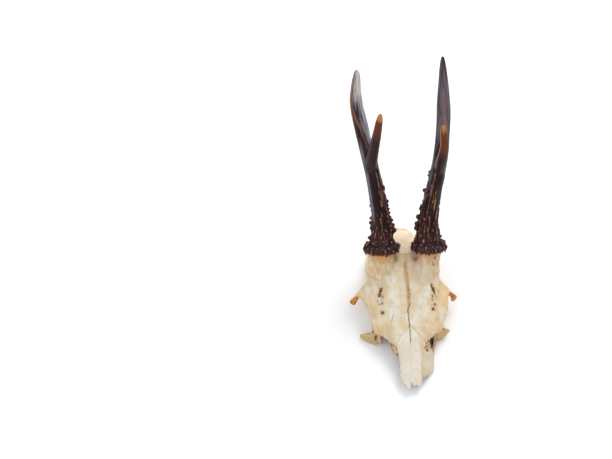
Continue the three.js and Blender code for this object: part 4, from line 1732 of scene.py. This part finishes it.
        # The grey-violet tints lay painted sheen; the others lay the antler's own colours.
        masks = no_masks(("violet_sheen", "amber", "pale", "rust", "gold"), len(crest))
        for tints, share, around, here in limbs:
            for tint in tints:
                deepen(masks, tint.mask, here * tint.amount * tint.strength(share, around))
        proud = smoothstep(0.3, 0.0, self.tine_share) * (self.by_beam.across - through(self.radius, along))
        low = smoothstep(110, 60, along)
        masks["bead"] = smoothstep(0.6, 1.6, proud) * low * smoothstep(5, 9, along)
        deepen(masks, "amber", 0.9 * smoothstep(2.6, 0.8, along))
        front = 0.3 + 0.7 * bump(np.abs(angle), math.radians(110))
        above_burr = 1 - smoothstep(16, 7, along)
        ridge = smoothstep(0.05, 0.28, crest) * (0.15 + 0.6 * low) * above_burr * front
        masks["ridge"] = ridge * (1 - 0.75 * masks["bead"])
        masks["glint"] = 0.55 * smoothstep(0.05, 0.4, crest) * smoothstep(30, 4, along)
        masks["furrow"] = smoothstep(-0.02, -0.22, crest) * (0.3 + 0.7 * low)
        for name, values in masks.items():
            skin.keep(name, values)
        skin.keep_rows("flow", self.flow)

    def dress(self, material: Material) -> None:
        """Gives the antler its material and ties it to the frame.

        Args:
            material: the antler's material.
        """
        self.piece.data.materials.append(material)
        name = self.side.name.lower()
        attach(self.piece, "root")
        nodes = [f"antler_{name}_{part}" for part in ("burr", "beam", "top_tine", "front_tine")]
        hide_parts(*nodes)
        LOG.info("%s: %d faces", self.piece.name, len(self.piece.data.polygons))


# ---------------------------------------------------------------- sub-assemblies


@dataclass
class SkullCap:
    """All bones of the sawn skull, each as a piece of its own."""

    brow: BoneFinish = BoneFinish("brow_bone", "bone", (217, 211, 195), (208, 189, 154), balance=0.03)
    nose: BoneFinish = BoneFinish("nose_bone", "bone", (216, 208, 194), (210, 199, 180), streaks=0.2)
    # The braincase is paler than the brow: partly its own warmer colour, and partly painted light against
    # the antlers' shade on it.
    case: BoneFinish = BoneFinish("case_bone", "bone", (242, 219, 188), (236, 209, 174), streaks=0.2)
    face: BoneFinish = BoneFinish("face_bone", "stained_bone", (188, 162, 112), (176, 142, 90), streaks=0.4)
    plate: BoneFinish = BoneFinish(
        "plate_bone", "stained_bone", (206, 198, 176), (194, 182, 152), streaks=0.35
    )

    def build(self) -> list[Bone]:
        """Makes every bone.

        Returns:
            The bones.
        """
        bones: list[Bone] = [
            Frontal("frontal_right", self.brow, 100, side=Side.RIGHT),
            Frontal("frontal_left", self.brow, 200, side=Side.LEFT),
            Nasal("nasal_right", self.nose, 300, smoothing=60, swell=0.26, side=Side.RIGHT),
            Nasal("nasal_left", self.nose, 350, smoothing=60, swell=0.26, side=Side.LEFT),
            CaseBone("parietal", self.case, 400, ragged=0.15, swell=0.3),
            CaseBone("occipital", self.case, 450, ragged=0.1, swell=0.3),
            CaseBone("temporal_right", self.case, 500, ragged=0.1),
            CaseBone("temporal_left", self.case, 550, ragged=0.1),
            Fragment(
                "lacrimal_right", self.face, 600, voxel=0.3, smoothing=20,
                holes=((-32.6, -55.2), (-31.0, -55.6), (-27.1, -60.2)),
            ),
            Fragment("lacrimal_left", self.face, 650, voxel=0.3, smoothing=20, holes=((30.4, -54.6),)),
            Fragment("maxilla_right", self.face, 700, voxel=0.25, smoothing=15),
            Fragment(
                "maxilla_left", self.plate, 750, voxel=0.35, smoothing=30, swell=0.3,
                holes=((14.4, -68.8), (15.5, -75.3)), brown_behind=-74.0, tuck=1.0,
            ),
            NoseCore("ethmoid", self.face, 800, voxel=0.5, ragged=0.2),
        ]
        for bone in bones:
            bone.build()
        return bones

    def dress(self, bones: list[Bone]) -> None:
        """Gives every bone its finish.

        Args:
            bones: the built bones.
        """
        finishes = (self.brow, self.nose, self.case, self.face, self.plate)
        materials = {finish.name: finish.material() for finish in finishes}
        for bone in bones:
            bone.dress(materials)


@dataclass
class AntlerPair:
    """The two antlers, which differ in bend, forks and beads."""

    finish: AntlerFinish = AntlerFinish()

    # Lower half of both beams, as (share of the length, radius in mm)
    COMMON_TAPER = [(0.14, 8.4), (0.22, 7.3), (0.35, 6.6), (0.6, 5.9)]

    def build(self) -> list[Antler]:
        """Makes both antlers.

        Returns:
            The antlers, right one first.
        """
        right = Antler(
            side=Side.RIGHT,
            beam=[(19.2, 17, 66.1), (22.1, 28.7, 82.5), (25.3, 39.2, 99.5), (29.4, 49.6, 116.5),
                  (35.9, 65, 142.5), (40.4, 79, 165), (39.4, 93.4, 185.7)],
            tine=[(25.6, 37.5, 98), (28.3, 44.4, 111), (27.2, 47.6, 131.5), (24.8, 50, 154.5),
                  (22.2, 54.3, 179)],
            taper=self.COMMON_TAPER + [(0.75, 5.9), (0.85, 5.2), (0.95, 3.5), (0.985, 2.4), (1.0, 1.3)],
            beads=[Bead(45, 82, 1.5), Bead(38, 80, 1.2), Bead(28, 84, 1.6), Bead(24, 72, 1.7),
                   Bead(20, 86, 2.3), Bead(32, -84, 1.4), Bead(27, -88, 1.8), Bead(21, -86, 1.5),
                   Bead(12, -88, 1.8), Bead(25, 48, 1.5)],
            calm=[
                Tint("violet_sheen", 0.14, 0.6, (-60, -48), 62, 1.0),
                Tint("violet_sheen", 0.24, 0.5, (-12, -4), 30, 1.0),
            ],
            beam_tints=[
                Tint("violet_sheen", 0.15, 0.62, (-66, -38), 34, 0.68),
                Tint("violet_sheen", 0.49, 0.54, (72, 72), 55, 0.0, raised=1.5, fade=0.06),
                Tint("violet_sheen", 0.55, 0.92, (55, 40), 80, 0.85),
                Tint("pale", 0.85, 1.1, (20, 20), 115, 0.9, fade=0.09),
                Tint("pale", 0.55, 0.92, (70, 50), 70, 0.5),
                Tint("rust", 0.72, 0.97, (-72, -66), 26, 0.85),
                Tint("rust", 0.48, 0.86, (48, -48), 18, 0.46, raised=0.4),
                Tint("rust", 0.27, 0.45, (36, 30), 15, 0.5),
            ],
            tine_tints=[
                Tint("violet_sheen", 0.2, 0.78, (-88, -88), 36, 0.32),
                Tint("amber", 0.72, 1.2, (0, 0), 180, 0.9, fade=0.15),
                Tint("gold", 0.935, 1.2, (0, 0), 180, 1.0, fade=0.06),
            ],
            seed=11,
            finish=self.finish,
        )
        left = Antler(
            side=Side.LEFT,
            beam=[(19.6, 17, 66.1), (22.2, 28.7, 82.5), (25.6, 39.2, 99.5), (29, 49.6, 116.5),
                  (31, 65, 142.5), (30.8, 80.7, 167.5), (29.9, 99.4, 192.7)],
            tine=[(24.9, 34.2, 92.5), (28, 42.4, 105.5), (29.2, 43.2, 125.5), (30.6, 44.8, 144.5),
                  (28.2, 49.4, 168.5)],
            taper=self.COMMON_TAPER + [(0.75, 5.8), (0.84, 4.7), (0.94, 3.0), (0.98, 2.0), (1.0, 1.0)],
            beads=[Bead(72, -82, 1.4), Bead(68, -84, 1.3), Bead(54, -86, 1.7), Bead(53, -48, 1.6),
                   Bead(40, -86, 1.4), Bead(37, -84, 1.4), Bead(30, -86, 2.0), Bead(24, -84, 2.0),
                   Bead(20, -88, 2.0), Bead(16, -46, 1.6), Bead(11, -88, 1.8), Bead(12, 86, 1.3),
                   Bead(62, -36, 1.2)],
            calm=[
                Tint("violet_sheen", 0.24, 0.6, (-78, -72), 40, 1.0),
                Tint("violet_sheen", 0.2, 0.5, (62, 40), 30, 1.0),
            ],
            beam_tints=[
                Tint("violet_sheen", 0.24, 0.5, (-78, -68), 36, 0.6),
                Tint("violet_sheen", 0.58, 0.97, (0, 0), 180, 0.62, fade=0.1),
                Tint("rust", 0.55, 0.84, (4, 4), 48, 0.34),
                Tint("rust", 0.3, 0.47, (-24, -24), 14, 0.55),
                Tint("rust", 0.2, 0.34, (18, 10), 10, 0.45),
            ],
            tine_tints=[
                Tint("amber", 0.6, 1.2, (10, 10), 180, 0.95, fade=0.16),
                Tint("gold", 0.92, 1.2, (0, 0), 180, 0.9, fade=0.08),
                Tint("rust", 0.2, 0.96, (-82, -74), 26, 0.6),
            ],
            seed=23,
            finish=self.finish,
        )
        antlers = [right, left]
        for antler in antlers:
            antler.build()
        return antlers

    def dress(self, antlers: list[Antler]) -> None:
        """Gives both antlers their finish.

        Args:
            antlers: the built antlers.
        """
        material = self.finish.material()
        for antler in antlers:
            antler.dress(material)


# ---------------------------------------------------------------- studio


@dataclass(frozen=True)
class Softbox:
    """A round soft light: its place and width in metres, and its power in watts."""

    name: str
    place: Triple
    width: float
    power: float


@dataclass
class Studio:
    """Pale floor, soft light and the camera, whose place is in mm from the bregma and angles in degrees."""

    camera_place: Triple = (-103.0, -727.4, 1353.7)
    elevation: float = 60.0
    azimuth: float = 1.5
    roll: float = -0.5
    lens: float = 103.8
    sensor: float = 36.0
    floor_size: float = 30.0
    floor_colour: Triple = (0.9, 0.9, 0.9)
    floor_roughness: float = 0.9
    sky: Triple = (0.9, 0.95, 1.0)
    sky_strength: float = 0.96
    lamp_colour: Triple = (1.0, 0.965, 0.92)
    lamp_target: Triple = (0.0, 0.0, 0.05)
    softboxes: tuple[Softbox, ...] = (
        Softbox("key", (0.45, 0.8, 1.15), 0.7, 9.5),
        Softbox("fill", (-0.9, -0.6, 1.2), 1.2, 3.0),
    )

    def build(self) -> None:
        """Makes the floor, the lights and the camera."""
        self.lay_floor()
        self.set_sky()
        for softbox in self.softboxes:
            self.hang(softbox)
        self.set_camera()

    def lay_floor(self) -> None:
        """Lays the floor."""
        bpy.ops.object.select_all(action="DESELECT")
        bpy.ops.mesh.primitive_plane_add(size=self.floor_size)
        floor = bpy.context.object
        floor.name = "floor"
        material, _, shader = new_material("floor_white")
        shader.inputs["Base Color"].default_value = (*self.floor_colour, 1)
        shader.inputs["Roughness"].default_value = self.floor_roughness
        floor.data.materials.append(material)

    def set_sky(self) -> None:
        """Lights the room evenly and shows colours as they are."""
        world = bpy.data.worlds.new("studio")
        world.use_nodes = True
        background = world.node_tree.nodes["Background"]
        background.inputs["Color"].default_value = (*self.sky, 1)
        background.inputs["Strength"].default_value = self.sky_strength
        bpy.context.scene.world = world
        bpy.context.scene.view_settings.view_transform = "Standard"

    def hang(self, softbox: Softbox) -> None:
        """Hangs a soft light that faces the skull.

        Args:
            softbox: the light.
        """
        light = bpy.data.lights.new(softbox.name, "AREA")
        light.shape = "DISK"
        light.size = softbox.width
        light.energy = softbox.power
        light.color = self.lamp_colour
        lamp = new_object(softbox.name, light)
        lamp.location = softbox.place
        away = Vector(softbox.place) - Vector(self.lamp_target)
        lamp.rotation_euler = away.to_track_quat("Z", "Y").to_euler()

    def set_camera(self) -> None:
        """Sets the camera by its angles."""
        tilt, swing, lean = (math.radians(v) for v in (self.elevation, self.azimuth, self.roll))
        outward = Vector((-math.sin(swing), -math.cos(swing), 0))
        back = outward * math.cos(tilt) + Vector((0, 0, math.sin(tilt)))
        level = Vector((math.cos(swing), -math.sin(swing), 0))
        upward = back.cross(level)
        right = level * math.cos(lean) + upward * math.sin(lean)
        above = upward * math.cos(lean) - level * math.sin(lean)
        data = bpy.data.cameras.new("camera")
        data.lens = self.lens
        data.sensor_width = self.sensor
        camera = new_object("camera", data)
        matrix = Matrix((right, above, back)).transposed().to_4x4()
        matrix.translation = Vector((np.array(self.camera_place) + BREGMA) * MM)
        camera.matrix_world = matrix
        bpy.context.scene.camera = camera


def main() -> None:
    """Builds and dresses everything in order."""
    logging.basicConfig(level=logging.INFO)
    cap = SkullCap()
    cap.dress(cap.build())
    pair = AntlerPair()
    pair.dress(pair.build())
    Studio().build()


if __name__ == "__main__":
    main()
